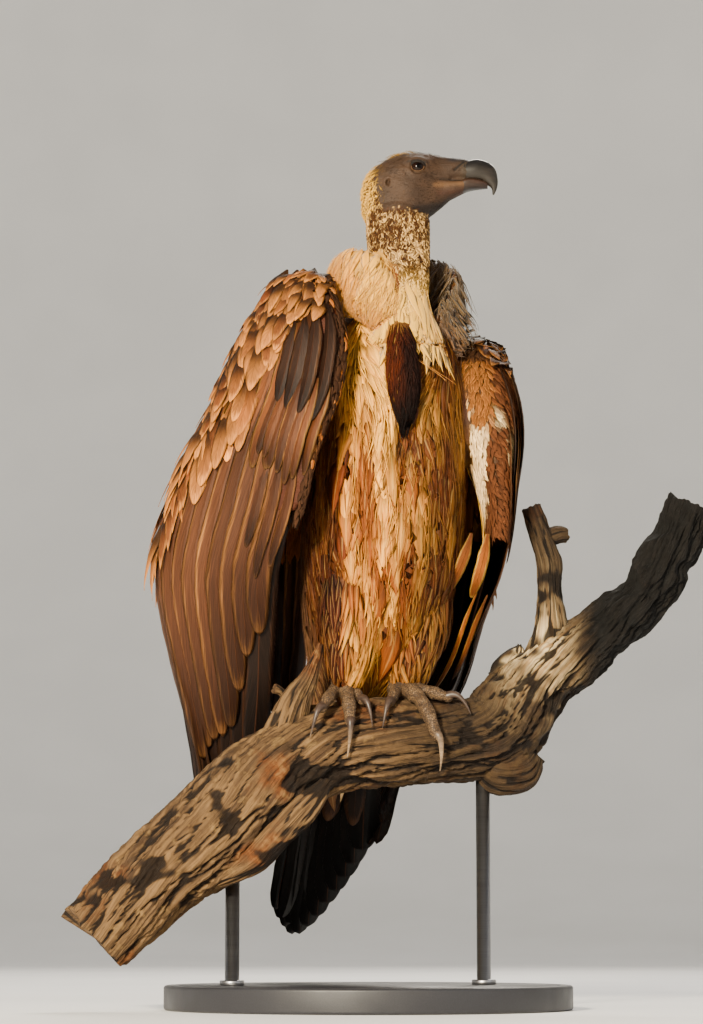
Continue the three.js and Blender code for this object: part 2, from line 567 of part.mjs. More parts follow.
/** A turned base with chamfered edges. */
function baseForm() {
  const profile = [
    [BASE_RADIUS - BASE_EDGE, 0],
    [BASE_RADIUS, BASE_EDGE],
    [BASE_RADIUS, BASE_HEIGHT - BASE_EDGE],
    [BASE_RADIUS - BASE_EDGE, BASE_HEIGHT],
  ];
  const rings = profile.map(([radius, height]) =>
    Array.from({ length: BASE_SIDES }, (_, i) => {
      const [s, c] = corner(i, BASE_SIDES);
      return new THREE.Vector3(radius * c, radius * s, height);
    }));
  return skinOf(rings);
}
/** An upright rod from the base into the branch, before the branch is cut from it. */
function rodForm(rod) {
  const foot = new THREE.Vector3(rod.x, rod.y, 0).applyAxisAngle(new THREE.Vector3(0, 0, 1), PERCH_TURN);
  const [x, y] = [foot.x + STANCE[0], foot.y + STANCE[1]];
  const line = [[x, y, BASE_HEIGHT + GAP], [x, y, STANCE[2] + rod.top]];
  return loft({ line, size: [alike(ROD_RADIUS), alike(ROD_RADIUS)], count: 1, sides: ROD_SIDES });
}

// ---------- every piece, parted from its neighbours ----------
const solids = new Map();
const keep = (name, solid, material) => solids.set(name, { solid: largest(solid), material });

const trunk = inBird(trunkForm(0));
const trunkRoom = inBird(trunkForm(GAP));
const neckRoom = inBird(neckForm(GAP));
const cropRoom = inBird(cropForm(GAP));
const perch = inPerch(perchForm(0));
const perchRoom = inPerch(perchForm(GAP));
const ruffRoom = inBird(ruffForm(GAP));
const skullRoom = inHead(skullForm(GAP));
const mantleRoom = inBird(mantleForm(GAP));
const tailRoom = inBird(tailForm(GAP));
const thighRoom = union(inBird(thighForm("left", GAP)), inBird(thighForm("right", GAP)));
const wingRoom = union(...Object.values(WINGS).map((wing) => inBird(covertsForm(wing, GAP))));
const billRoom = union(inHead(upperBillForm(GAP)), inHead(cereForm(GAP)));
const eyeForm = (side, grow) =>
  inHead(ball([EYE_AT[0], side * EYE_AT[1], EYE_AT[2]], alike(EYE_RADIUS), grow));

keep("trunk", cut(trunk, cropRoom, neckRoom), GOLD_PLUMAGE);
keep("crop", cut(inBird(cropForm(0)), neckRoom), CROP_SKIN);
keep("neck", cut(inBird(neckForm(0)), skullRoom), DOWN);
keep("ruff", cut(inBird(ruffForm(0)), trunkRoom, neckRoom, cropRoom), RUFF_DOWN);
keep("mantle", cut(inBird(mantleForm(0)), trunkRoom, neckRoom, ruffRoom, wingRoom), BROWN_PLUMAGE);
keep("head", cut(inHead(skullForm(0)), eyeForm(1, GAP), eyeForm(-1, GAP)), BARE_SKIN);
keep("cere", inHead(cereForm(0)), HORN);
keep("bill_upper", inHead(upperBillForm(0)), HORN);
keep("bill_lower", cut(inHead(lowerBillForm(0)), billRoom), HORN);
keep("eye_left", eyeForm(1, 0), EYE_SHINE);
keep("eye_right", eyeForm(-1, 0), EYE_SHINE);
keep("tail", cut(inBird(tailForm(0)), trunkRoom, perchRoom), FLIGHT_FEATHER);
keep("perch", perch, DEAD_WOOD);

for (const name of ["right", "left"]) {
  const covertsRoom = inBird(covertsForm(WINGS[name], GAP));
  const secondariesRoom = inBird(secondariesForm(name, GAP));
  const legRoom = inPerch(legForm(name, CLAW_GAP));
  const otherThigh = name === "right" ? inBird(thighForm("left", GAP)) : perchRoom;
  const behindQuills = [covertsRoom, trunkRoom, thighRoom, perchRoom, mantleRoom];
  const secondaries = cut(inBird(secondariesForm(name, 0)), ...behindQuills);
  const primaries = cut(inBird(primariesForm(name, 0)), ...behindQuills, secondariesRoom, tailRoom);
  keep(`thigh_${name}`, cut(inBird(thighForm(name, 0)), trunkRoom, perchRoom, otherThigh), GOLD_PLUMAGE);
  keep(`wing_${name}`, cut(inBird(covertsForm(WINGS[name])), trunkRoom, ruffRoom, neckRoom), BROWN_PLUMAGE);
  keep(`secondaries_${name}`, secondaries, FLIGHT_FEATHER);
  keep(`primaries_${name}`, primaries, FLIGHT_FEATHER);
  keep(`leg_${name}`, cut(inPerch(legForm(name, 0)), thighRoom, trunkRoom, perchRoom), SCALED_SKIN);
  for (const [toeName, toe] of Object.entries(FEET[name].toes)) {
    const claw = cut(inPerch(clawForm(FEET[name], toe)), legRoom, perchRoom, trunkRoom);
    keep(`claw_${name}_${toeName}`, claw, HORN);
  }
}

keep("stand_base", baseForm(), STAND_PAINT);
keep("stand_rod_left", cut(rodForm(RODS.left), perchRoom), ROD_STEEL);
keep("stand_rod_right", cut(rodForm(RODS.right), perchRoom), ROD_STEEL);

// ---------- the scene graph ----------
/** A named mesh from a solid. */
function meshOf(name, { solid, material }) {
  const mesh = solid.getMesh();
  const geometry = new THREE.BufferGeometry();
  geometry.setAttribute("position", new THREE.BufferAttribute(new Float32Array(mesh.vertProperties), 3));
  geometry.setIndex(new THREE.BufferAttribute(new Uint32Array(mesh.triVerts), 1));
  geometry.computeVertexNormals();
  const made = new THREE.Mesh(geometry, material);
  made.name = name;
  return made;
}

const vulture = new THREE.Group();
for (const [name, piece] of solids) vulture.add(meshOf(name, piece));

export default vulture;
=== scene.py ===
"""A white-backed vulture at life size, perched on a cut length of dead branch on a plain display stand.

Every shape is a surface of two parameters worked out on whole numpy arrays. Every feather is a closed vane,
walked over such a surface along the way the plumage lies. Tables are in millimetres and meshes in metres.
"""
import logging
import math
from dataclasses import dataclass, field
from enum import Enum
from typing import Callable, Sequence

import bpy
import numpy as np
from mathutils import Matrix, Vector


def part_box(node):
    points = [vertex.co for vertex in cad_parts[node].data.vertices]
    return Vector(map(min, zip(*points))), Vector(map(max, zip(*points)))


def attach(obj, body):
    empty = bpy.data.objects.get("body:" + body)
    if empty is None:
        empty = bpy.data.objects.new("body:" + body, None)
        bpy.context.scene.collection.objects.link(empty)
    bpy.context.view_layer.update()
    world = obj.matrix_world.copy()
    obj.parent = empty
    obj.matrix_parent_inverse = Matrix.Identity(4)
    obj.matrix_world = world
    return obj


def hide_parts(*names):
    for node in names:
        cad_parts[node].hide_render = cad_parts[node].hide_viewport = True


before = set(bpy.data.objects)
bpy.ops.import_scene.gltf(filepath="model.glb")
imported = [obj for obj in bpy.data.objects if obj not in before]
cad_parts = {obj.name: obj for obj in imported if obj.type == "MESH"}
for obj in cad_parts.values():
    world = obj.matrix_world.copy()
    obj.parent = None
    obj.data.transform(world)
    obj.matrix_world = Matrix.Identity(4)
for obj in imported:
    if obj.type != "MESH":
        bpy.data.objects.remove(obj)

Array = np.ndarray
Number = np.ndarray | float
Luck = np.random.Generator
Colour = tuple[float, float, float]
Colouring = Callable[[Array, Luck], tuple[Array, Array]]  # tint and rim for given points in the row
Flow = Callable[[Array], Array]  # the way the plumage lies at given points
Material = bpy.types.Material
Socket = bpy.types.NodeSocket
Input = Socket | float | Colour
log = logging.getLogger("vulture")

MM = 0.001
STANCE = (20.0, 0.0, 305.0)  # between the feet, on top of the branch
BODY_TURN = -62.0  # degrees, from the row's +X to the way the breast faces
PERCH_TURN = -78.0
HEAD_AT = (12.0, -35.0, 513.0)  # skull centre, from the stance, on the row's axes
HEAD_TURN = -3.0
LIMB_RADIUS = 45.0
RICHNESS = 1.32  # power that draws each colour away from its own grey, since the view pales it
SHORT = 4e-3  # step over which the normal of a sheet is taken, in its own parameters
THINNEST = 0.6  # least half thickness of a sheet
HALVES = ((0.01, 0.01, 0.47, 0.98), (0.51, 0.01, 0.47, 0.98))  # both halves of the bake map, in turn
EYES = ("eye_right", "eye_left")
ACROSS = (0.469, 0.883)  # the row's +X in the bird's frame
BANDS = 7  # rows of long feathers that share a wing's bake map
PATCH = 0.003  # side of one small feather's patch on the bake map


# ---------------------------------------------------------------- numbers
def mix(a: Number, b: Number, t: Number) -> Number:
    """Straight blend of a and b by t."""
    return a + (b - a) * t


def smooth(low: float, high: float, x: Array) -> Array:
    """Smooth step from 0 at low to 1 at high."""
    t = np.clip((np.asarray(x, float) - low) / (high - low), 0, 1)
    return t * t * (3 - 2 * t)


def unit(v: Array) -> Array:
    """Vectors at unit length along their last axis."""
    return v / np.maximum(np.linalg.norm(v, axis=-1, keepdims=True), 1e-12)


def matched(*values: Number) -> list[Array]:
    """Numbers and arrays brought to one common shape."""
    return np.broadcast_arrays(*(np.asarray(value, float) for value in values))


def stacked(*axes: Number) -> Array:
    """Coordinates brought to one common shape and joined along a new last axis."""
    return np.stack(matched(*axes), -1)


def powered(x: Array, power: float) -> Array:
    """Numbers raised to a power, each with its sign kept."""
    return np.sign(x) * np.abs(x) ** power


def run_of(line: Array) -> Array:
    """Distance run along a line of points, from 0 at its start."""
    return np.concatenate([[0], np.cumsum(np.linalg.norm(np.diff(line, axis=0), axis=-1))])


def turns(count: int) -> Array:
    """Angles evenly spaced over one full turn, without its end."""
    return np.linspace(0, 2 * np.pi, count, endpoint=False)


def along(rows: Sequence, t: Array) -> Array:
    """Smooth curve through evenly spaced rows (Catmull-Rom), carried straight on past both ends.

    Args:
        rows: One row of numbers for each station.
        t: Where to read, 0 at the first row and 1 at the last, of any shape.
    Returns:
        The rows' numbers at each t, along one more axis.
    """
    rows = np.asarray(rows, float)
    last = len(rows) - 1
    t = np.asarray(t, float)
    u = np.clip(t, 0, 1) * last
    i = np.clip(np.floor(u).astype(int), 0, last - 1)
    f = (u - i)[..., None]
    a, b, c, d = (rows[np.clip(i + k, 0, last)] for k in (-1, 0, 1, 2))
    value = 0.5 * (2 * b + (c - a) * f + (2 * a - 5 * b + 4 * c - d) * f ** 2
                   + (3 * b - a - 3 * c + d) * f ** 3)
    past = np.clip(t - 1, 0, None)[..., None] * (rows[-1] - rows[-2]) * last
    before = np.clip(t, None, 0)[..., None] * (rows[1] - rows[0]) * last
    return value + past + before


def lattice(cells: Array, seed: int) -> Array:
    """Random numbers from 0 to 1 for whole-number cells, by hashing their last axis.

    Args:
        cells: Whole numbers, one cell along the last axis.
        seed: Which set of random numbers.
    Returns:
        One number for each cell.
    """
    with np.errstate(over="ignore"):
        h = np.uint32(seed * 7919 + 17)
        for k in range(cells.shape[-1]):
            h = (h ^ (cells[..., k].astype(np.int64) & 0xFFFFFFFF).astype(np.uint32)) * np.uint32(0x9E3779B1)
            h = h ^ (h >> np.uint32(15))
        h = h * np.uint32(0x85EBCA77)
        h = h ^ (h >> np.uint32(13))
    return h.astype(float) / 0xFFFFFFFF


def noise(p: Array, seed: int = 0, octaves: int = 2) -> Array:
    """Smooth value noise in -1 to 1 over points of any number of axes.

    Each octave is twice as fine and half as strong as the one before.

    Args:
        p: Points, their coordinates along the last axis.
        seed: Which noise.
        octaves: How many layers are added.
    Returns:
        One number for each point.
    """
    total, strength, scale = 0.0, 0.0, 1.0
    axes = p.shape[-1]
    for octave in range(octaves):
        q = p * scale + 13.7 * octave
        cell = np.floor(q)
        f = q - cell
        f = f * f * (3 - 2 * f)
        value = 0.0
        for corner in range(2 ** axes):
            bits = np.array([(corner >> k) & 1 for k in range(axes)])
            weight = np.prod(np.where(bits, f, 1 - f), axis=-1)
            value = value + weight * lattice(cell + bits, seed + 31 * octave)
        total = total + (2 * value - 1) / scale
        strength += 1 / scale
        scale *= 2.0
    return total / strength


# ---------------------------------------------------------------- places
@dataclass(frozen=True)
class Place:
    """A frame turned about the vertical: degrees of turn, and its origin in the row in millimetres."""

    turn: float
    at: tuple[float, float, float]

    def world(self, p: Array) -> Array:
        """Points of this frame in the row, in metres.

        Args:
            p: Points in this frame, in millimetres.
        Returns:
            The same points in the row.
        """
        c, s = math.cos(math.radians(self.turn)), math.sin(math.radians(self.turn))
        x, y, z = p[..., 0], p[..., 1], p[..., 2]
        return (stacked(c * x - s * y, s * x + c * y, z) + np.array(self.at)) * MM

    def inside(self, q: Array) -> Array:
        """Row points in metres, back in this frame in millimetres.

        Args:
            q: Points in the row, in metres.
        Returns:
            The same points in this frame.
        """
        c, s = math.cos(math.radians(self.turn)), math.sin(math.radians(self.turn))
        p = np.asarray(q, float) / MM - np.array(self.at)
        x, y, z = p[..., 0], p[..., 1], p[..., 2]
        return stacked(c * x + s * y, -s * x + c * y, z)


BIRD = Place(BODY_TURN, STANCE)
PERCH = Place(PERCH_TURN, STANCE)
HEAD = Place(HEAD_TURN, tuple(a + b for a, b in zip(STANCE, HEAD_AT)))


# ---------------------------------------------------------------- surfaces
class Surface:
    """A surface of two parameters. facing is 1 or -1, whichever turns its normal outwards."""

    facing: float = 1.0

    def point(self, u: Array, v: Array) -> Array:
        """Position at u, v."""
        raise NotImplementedError

    def tangents(self, u: Array, v: Array) -> tuple[Array, Array, Array, Array]:
        """Position, outward unit normal, and change of position with u and with v.

        Args:
            u: First parameter of each point.
            v: Second parameter of each point.
        Returns:
            The four, in that order, for each point.
        """
        e = 2e-3
        du = (self.point(u + e, v) - self.point(u - e, v)) / (2 * e)
        dv = (self.point(u, v + e) - self.point(u, v - e)) / (2 * e)
        return self.point(u, v), unit(np.cross(du, dv)) * self.facing, du, dv


@dataclass(frozen=True)
class Loft(Surface):
    """A tube on a curve: u goes once round (0 to 1), v along. Rows of size: half width, reach to each face.

    At each v the ring is middle + wide * w * sin + front * reach * cos, with sine and cosine raised to
    square.
    """

    line: Sequence
    size: Sequence
    across: tuple[float, float, float] = (0, 1, 0)
    grow: float = 0.0
    square: float = 1.0
    facing: float = 1.0

    def point(self, u: Array, v: Array) -> Array:
        """Position at u, v.

        Args:
            u: First parameter of each point.
            v: Second parameter of each point.
        Returns:
            The points.
        """
        u, v = matched(u, v)
        middle = along(self.line, v)
        ahead = unit(along(self.line, np.minimum(v + 0.01, 1)) - along(self.line, np.maximum(v - 0.01, 0)))
        side = unit(np.array(self.across, float))
        wide = unit(side - ahead * (ahead @ side)[..., None])
        front = np.cross(wide, ahead)
        size = along(self.size, v) + self.grow
        s, c = np.sin(2 * np.pi * u), np.cos(2 * np.pi * u)
        s, c = powered(s, self.square), powered(c, self.square)
        reach = np.where(c > 0, size[..., 1], size[..., 2])
        return middle + wide * (size[..., 0] * s)[..., None] + front * (reach * c)[..., None]


@dataclass(frozen=True)
class Profile(Surface):
    """An egg-sectioned body on the x axis.

    Rows: x, top, bottom, half width. The field widest says how far up it is widest, as a share.
    """

    rows: Sequence
    widest: float = 0.5
    square: float = 0.85
    grow: float = 0.0
    facing: float = 1.0

    def point(self, u: Array, v: Array) -> Array:
        """Position at u, v.

        Args:
            u: First parameter of each point.
            v: Second parameter of each point.
        Returns:
            The points.
        """
        u, v = matched(u, v)
        x, top, bottom, half = np.moveaxis(along(self.rows, v), -1, 0)
        middle = mix(bottom, top, self.widest)
        s, c = np.sin(2 * np.pi * u), np.cos(2 * np.pi * u)
        height = np.where(c > 0, top - middle, middle - bottom) + self.grow
        return stacked(x, (half + self.grow) * powered(s, self.square),
                         middle + height * powered(c, self.square))


def upright(middle: Callable[[Array, Array], Array], u: Array, v: Array) -> Array:
    """Unit normal of a middle surface, from its change over a short step each way.

    Args:
        middle: Gives the points of the surface.
        u: First parameter of each point.
        v: Second parameter of each point.
    Returns:
        The normals.
    """
    du = middle(u + SHORT, v) - middle(u - SHORT, v)
    dv = middle(u, v + SHORT) - middle(u, v - SHORT)
    return unit(np.cross(du, dv))


@dataclass(frozen=True)
class Sheet(Surface):
    """One face of a thin curved sheet: its middle surface moved along the normal by a height."""

    middle: Callable[[Array, Array], Array]
    height: Callable[[Array, Array], Array]
    facing: float = 1.0

    def point(self, u: Array, v: Array) -> Array:
        """Position at u, v."""
        u, v = matched(u, v)
        return self.middle(u, v) + upright(self.middle, u, v) * (self.facing * self.height(u, v))[..., None]


def halved(thickness: Callable[[Array, Array], Array], inset: float) -> Callable[[Array, Array], Array]:
    """Half of a sheet's thickness less an inset, as a height over its middle surface.

    Args:
        thickness: Gives the thickness at u, v.
        inset: How much is taken off, in millimetres.
    Returns:
        A function of u and v.
    """
    def height(u: Array, v: Array) -> Array:
        """Height at u, v."""
        return np.maximum(thickness(u, v) / 2 - inset, THINNEST)
    return height


def level(height: float) -> Callable[[Array, Array], Array]:
    """The same height all over a sheet.

    Args:
        height: Height in millimetres.
    Returns:
        A function of u and v.
    """
    def everywhere(u: Array, v: Array) -> Array:
        """Height at u, v."""
        return np.full(np.broadcast(u, v).shape, height)
    return everywhere


@dataclass(frozen=True)
class Relief(Surface):
    """Another surface, raised along its normal by a height that depends on the place."""

    base: Surface
    height: Callable[[Array], Array]

    @property
    def facing(self) -> float:
        """As the surface below it."""
        return self.base.facing

    def point(self, u: Array, v: Array) -> Array:
        """Position at u, v."""
        p, normal, _, _ = self.base.tangents(u, v)
        return p + normal * self.height(p)[..., None]


@dataclass(frozen=True)
class Nose(Surface):
    """The rounded front edge of a sheet.

    It runs from the inner face (u is 0) round to the outer one (u is 1), and v runs along the sheet. The way
    in and the height follow half an ellipse, as deep as reach and as thick as the sheet there.
    """

    middle: Callable[[Array, Array], Array]
    height: Callable[[Array, Array], Array]
    reach: float = 0.1
    facing: float = 1.0

    def point(self, u: Array, v: Array) -> Array:
        """Position at u, v.

        Args:
            u: First parameter of each point.
            v: Second parameter of each point.
        Returns:
            The points.
        """
        u, v = matched(u, v)
        turn = np.pi * (u - 0.5)
        s = self.reach * (1 - np.cos(turn))
        thick = self.facing * self.height(np.full_like(v, self.reach), v)
        return self.middle(s, v) + upright(self.middle, s, v) * (thick * np.sin(turn))[..., None]


# ---------------------------------------------------------------- meshes
@dataclass
class Shape:
    """Points, faces and what each point carries, ready to become a mesh."""

    points: Array
    quads: Array = field(default_factory=lambda: np.zeros((0, 4), int))
    tris: Array = field(default_factory=lambda: np.zeros((0, 3), int))
    maps: dict[str, Array] = field(default_factory=dict)  # two numbers for each point
    tints: dict[str, Array] = field(default_factory=dict)  # a colour for each point

    def made(self, name: str) -> bpy.types.Object:
        """An object with this shape, at the origin.

        Args:
            name: Name of the object and of its mesh.
        Returns:
            The object.
        """
        mesh = bpy.data.meshes.new(name)
        points = np.asarray(self.points, np.float32)
        corners = np.concatenate([self.quads.ravel(), self.tris.ravel()]).astype(np.int32)
        starts = np.concatenate([np.arange(len(self.quads)) * 4,
                                 len(self.quads) * 4 + np.arange(len(self.tris)) * 3]).astype(np.int32)
        mesh.vertices.add(len(points))
        mesh.vertices.foreach_set("co", points.ravel())
        mesh.loops.add(len(corners))
        mesh.loops.foreach_set("vertex_index", corners)
        mesh.polygons.add(len(starts))
        mesh.polygons.foreach_set("loop_start", starts)
        mesh.update(calc_edges=True)
        for key, uv in self.maps.items():
            layer = mesh.uv_layers.new(name=key)
            layer.data.foreach_set("uv", uv[corners].astype(np.float32).ravel())
        for key, colour in self.tints.items():
            layer = mesh.color_attributes.new(key, "FLOAT_COLOR", "POINT")
            rgba = np.concatenate([colour, np.ones((len(colour), 1))], 1)
            layer.data.foreach_set("color", rgba.astype(np.float32).ravel())
        mesh.shade_smooth()
        made = bpy.data.objects.new(name, mesh)
        bpy.context.scene.collection.objects.link(made)
        return made


def joined(shapes: Sequence[Shape]) -> Shape:
    """Several shapes as one; they carry the same maps and tints.

    Args:
        shapes: The shapes.
    Returns:
        One shape with all their points and faces.
    """
    starts = np.cumsum([0] + [len(s.points) for s in shapes])
    return Shape(
        np.concatenate([s.points for s in shapes]),
        np.concatenate([s.quads + k for s, k in zip(shapes, starts)]),
        np.concatenate([s.tris + k for s, k in zip(shapes, starts)]),
        {key: np.concatenate([s.maps[key] for s in shapes]) for key in shapes[0].maps},
        {key: np.concatenate([s.tints[key] for s in shapes]) for key in shapes[0].tints},
    )


class Ends(Enum):
    """How the two ends of a tube are closed."""

    FAN = "fan"  # to one point in the middle of the ring
    ZIP = "zip"  # across a flattened ring, side to side
    OPEN = "open"


def bands(rows: int, sides: int, closed: bool = False) -> Array:
    """Quads between rings of points that are numbered one ring after the other.

    Args:
        rows: How many rings.
        sides: Points round each ring.
        closed: Whether the last ring joins the first.
    Returns:
        One row of four corners for each quad.
    """
    i, j = np.meshgrid(np.arange(rows if closed else rows - 1), np.arange(sides), indexing="ij")
    near, far = i * sides, (i + 1) % rows * sides
    after = (j + 1) % sides
    return np.stack([near + j, near + after, far + after, far + j], -1).reshape(-1, 4)


def tube(points: Array, ends: Ends = Ends.FAN) -> Shape:
    """A closed tube from rings of points.

    Args:
        points: Rings along the first axis, points round each ring along the second.
        ends: How both ends are closed.
    Returns:
        The shape, with map "skin": round the ring and along the tube, from 0 to 1.
    """
    rows, sides = points.shape[:2]
    quads = bands(rows, sides)
    flat = points.reshape(-1, 3)
    uv = stacked((np.arange(sides) / sides)[None, :], (np.arange(rows) / (rows - 1))[:, None])
    uv = uv.reshape(-1, 2)
    tris = np.zeros((0, 3), int)
    ring = np.arange(sides)
    after = (ring + 1) % sides
    far = (rows - 1) * sides
    if ends is Ends.FAN:
        flat = np.concatenate([flat, points[0].mean(0)[None], points[-1].mean(0)[None]])
        uv = np.concatenate([uv, [[0.5, 0.0], [0.5, 1.0]]])
        near, last = rows * sides, rows * sides + 1
        tris = np.concatenate([np.stack([after, ring, np.full(sides, near)], -1),
                               np.stack([far + ring, far + after, np.full(sides, last)], -1)])
    elif ends is Ends.ZIP:
        k = np.arange(sides // 2 - 1)
        strip = np.stack([k, sides - 1 - k, sides - 2 - k, k + 1], -1)
        quads = np.concatenate([quads, strip, far + strip[:, ::-1]])
    return Shape(flat, quads, tris, {"skin": uv})


def grid_of(surface: Surface, around: int, rows: int) -> Array:
    """Rings of points on a surface that closes on itself round u."""
    return surface.point(np.arange(around) / around, np.linspace(0, 1, rows)[:, None])


def outward(shape: Shape) -> Shape:
    """The shape with its faces turned out, judged by the sign of its volume.

    Args:
        shape: A closed shape; it is changed.
    Returns:
        The same shape.
    """
    tri = np.concatenate([shape.tris, shape.quads[:, [0, 1, 2]], shape.quads[:, [0, 2, 3]]])
    a, b, c = (shape.points[tri[:, k]] for k in range(3))
    if np.einsum("ij,ij->i", a, np.cross(b, c)).sum() < 0:
        shape.quads, shape.tris = shape.quads[:, ::-1], shape.tris[:, ::-1]
    return shape


# ---------------------------------------------------------------- finishes
def paint(code: str) -> Colour:
    """A colour from its six hexadecimal digits, made linear and drawn away from its own grey.

    Args:
        code: Six hexadecimal digits.
    Returns:
        Red, green and blue from 0 to 1.
    """
    parts = [int(code[k:k + 2], 16) / 255 for k in (0, 2, 4)]
    red, green, blue = (p / 12.92 if p <= 0.04045 else ((p + 0.055) / 1.055) ** 2.4 for p in parts)
    grey = 0.21 * red + 0.72 * green + 0.07 * blue
    return tuple(min(grey * (p / grey) ** RICHNESS, 1.0) for p in (red, green, blue))


class Recipe:
    """A node material while it is put together. Its methods return output sockets."""

    def __init__(self, name: str) -> None:
        """Starts an empty material with a principled shader."""
        self.material = bpy.data.materials.new(name)
        self.material.use_nodes = True
        self.nodes = self.material.node_tree.nodes
        self.links = self.material.node_tree.links
        self.nodes.clear()
        self.shader = self.nodes.new("ShaderNodeBsdfPrincipled")
        output = self.nodes.new("ShaderNodeOutputMaterial")
        self.links.new(self.shader.outputs[0], output.inputs[0])

    def feed(self, socket: Socket, value: Input) -> None:
        """Links a socket to another, or sets it to a number or a colour.

        Args:
            socket: The input.
            value: What goes into it.
        """
        if isinstance(value, Socket):
            self.links.new(value, socket)
        elif isinstance(value, tuple) and socket.type == "RGBA":
            socket.default_value = (*value[:3], 1)
        else:
            socket.default_value = value

    def node(self, kind: str, inputs: dict, output: int | str = 0, **settings: str) -> Socket:
        """A new node.

        Args:
            kind: Its type, without the words that all types start with.
            inputs: What goes into each of its inputs, by name or number.
            output: Which of its outputs is wanted.
            settings: Its own properties.
        Returns:
            That output.
        """
        node = self.nodes.new("ShaderNode" + kind)
        for name, value in settings.items():
            setattr(node, name, value)
        for key, value in inputs.items():
            self.feed(node.inputs[key], value)
        return node.outputs[output]

    def math(self, operation: str, a: Input, b: Input = 0.0, c: Input = 0.0) -> Socket:
        """One arithmetic node."""
        return self.node("Math", {0: a, 1: b, 2: c}, operation=operation)

    def blend(self, factor: Input, a: Input, b: Input, kind: str = "MIX") -> Socket:
        """Two colours blended by a factor."""
        return self.node("Mix", {0: factor, 6: a, 7: b}, 2, data_type="RGBA", blend_type=kind)

    def dimmed(self, colour: Input, value: Input) -> Socket:
        """A colour made darker or lighter."""
        return self.blend(1.0, colour, self.vector(value, value, value), "MULTIPLY")

    def step(self, value: Input, low: float, high: float, to_low: float = 0.0,
             to_high: float = 1.0) -> Socket:
        """A smooth step of value between low and high."""
        return self.node("MapRange", {0: value, 1: low, 2: high, 3: to_low, 4: to_high},
                         interpolation_type="SMOOTHSTEP")

    def noise(self, vector: Input, scale: float, detail: float = 2.0, distortion: float = 0.0) -> Socket:
        """Noise from 0 to 1."""
        return self.node("TexNoise", {"Vector": vector, "Scale": scale, "Detail": detail,
                                      "Distortion": distortion})

    def cells(self, vector: Input, scale: float) -> Socket:
        """Distance to the edge of scattered cells."""
        return self.node("TexVoronoi", {"Vector": vector, "Scale": scale}, "Distance",
                         feature="DISTANCE_TO_EDGE")

    def vector(self, x: Input, y: Input, z: Input = 0.0) -> Socket:
        """A vector from three numbers."""
        return self.node("CombineXYZ", {0: x, 1: y, 2: z})

    def parts(self, vector: Input) -> tuple[Socket, ...]:
        """The three numbers of a vector."""
        return tuple(self.node("SeparateXYZ", {0: vector}).node.outputs)

    def stretched(self, vector: Input, scale: Colour) -> Socket:
        """A vector with each axis scaled."""
        return self.node("Mapping", {"Vector": vector, "Scale": scale})

    def place(self) -> Socket:
        """Object coordinates, in metres."""
        return self.node("TexCoord", {}, "Object")

    def map(self, name: str) -> Socket:
        """A UV map by name."""
        return self.node("UVMap", {}, uv_map=name)

    def tint(self, name: str) -> Socket:
        """A colour that the mesh carries."""
        return self.node("Attribute", {}, "Color", attribute_name=name)

    def bump(self, height: Input, distance: float) -> Socket:
        """A bumped normal; distance is in metres."""
        return self.node("Bump", {"Height": height, "Distance": distance})

    def done(self, colour: Input, roughness: Input, normal: Socket | None = None,
             **constants: float) -> Material:
        """Feeds the shader. Constants are set on its own sockets, with spaces for underscores.

        Args:
            colour: Base colour.
            roughness: Roughness.
            normal: A bumped normal, if there is one.
            constants: Numbers for other sockets.
        Returns:
            The finished material.
        """
        self.feed(self.shader.inputs["Base Color"], colour)
        self.feed(self.shader.inputs["Roughness"], roughness)
        if normal is not None:
            self.feed(self.shader.inputs["Normal"], normal)
        for name, value in constants.items():
            self.shader.inputs[name.replace("_", " ")].default_value = value
        return self.material


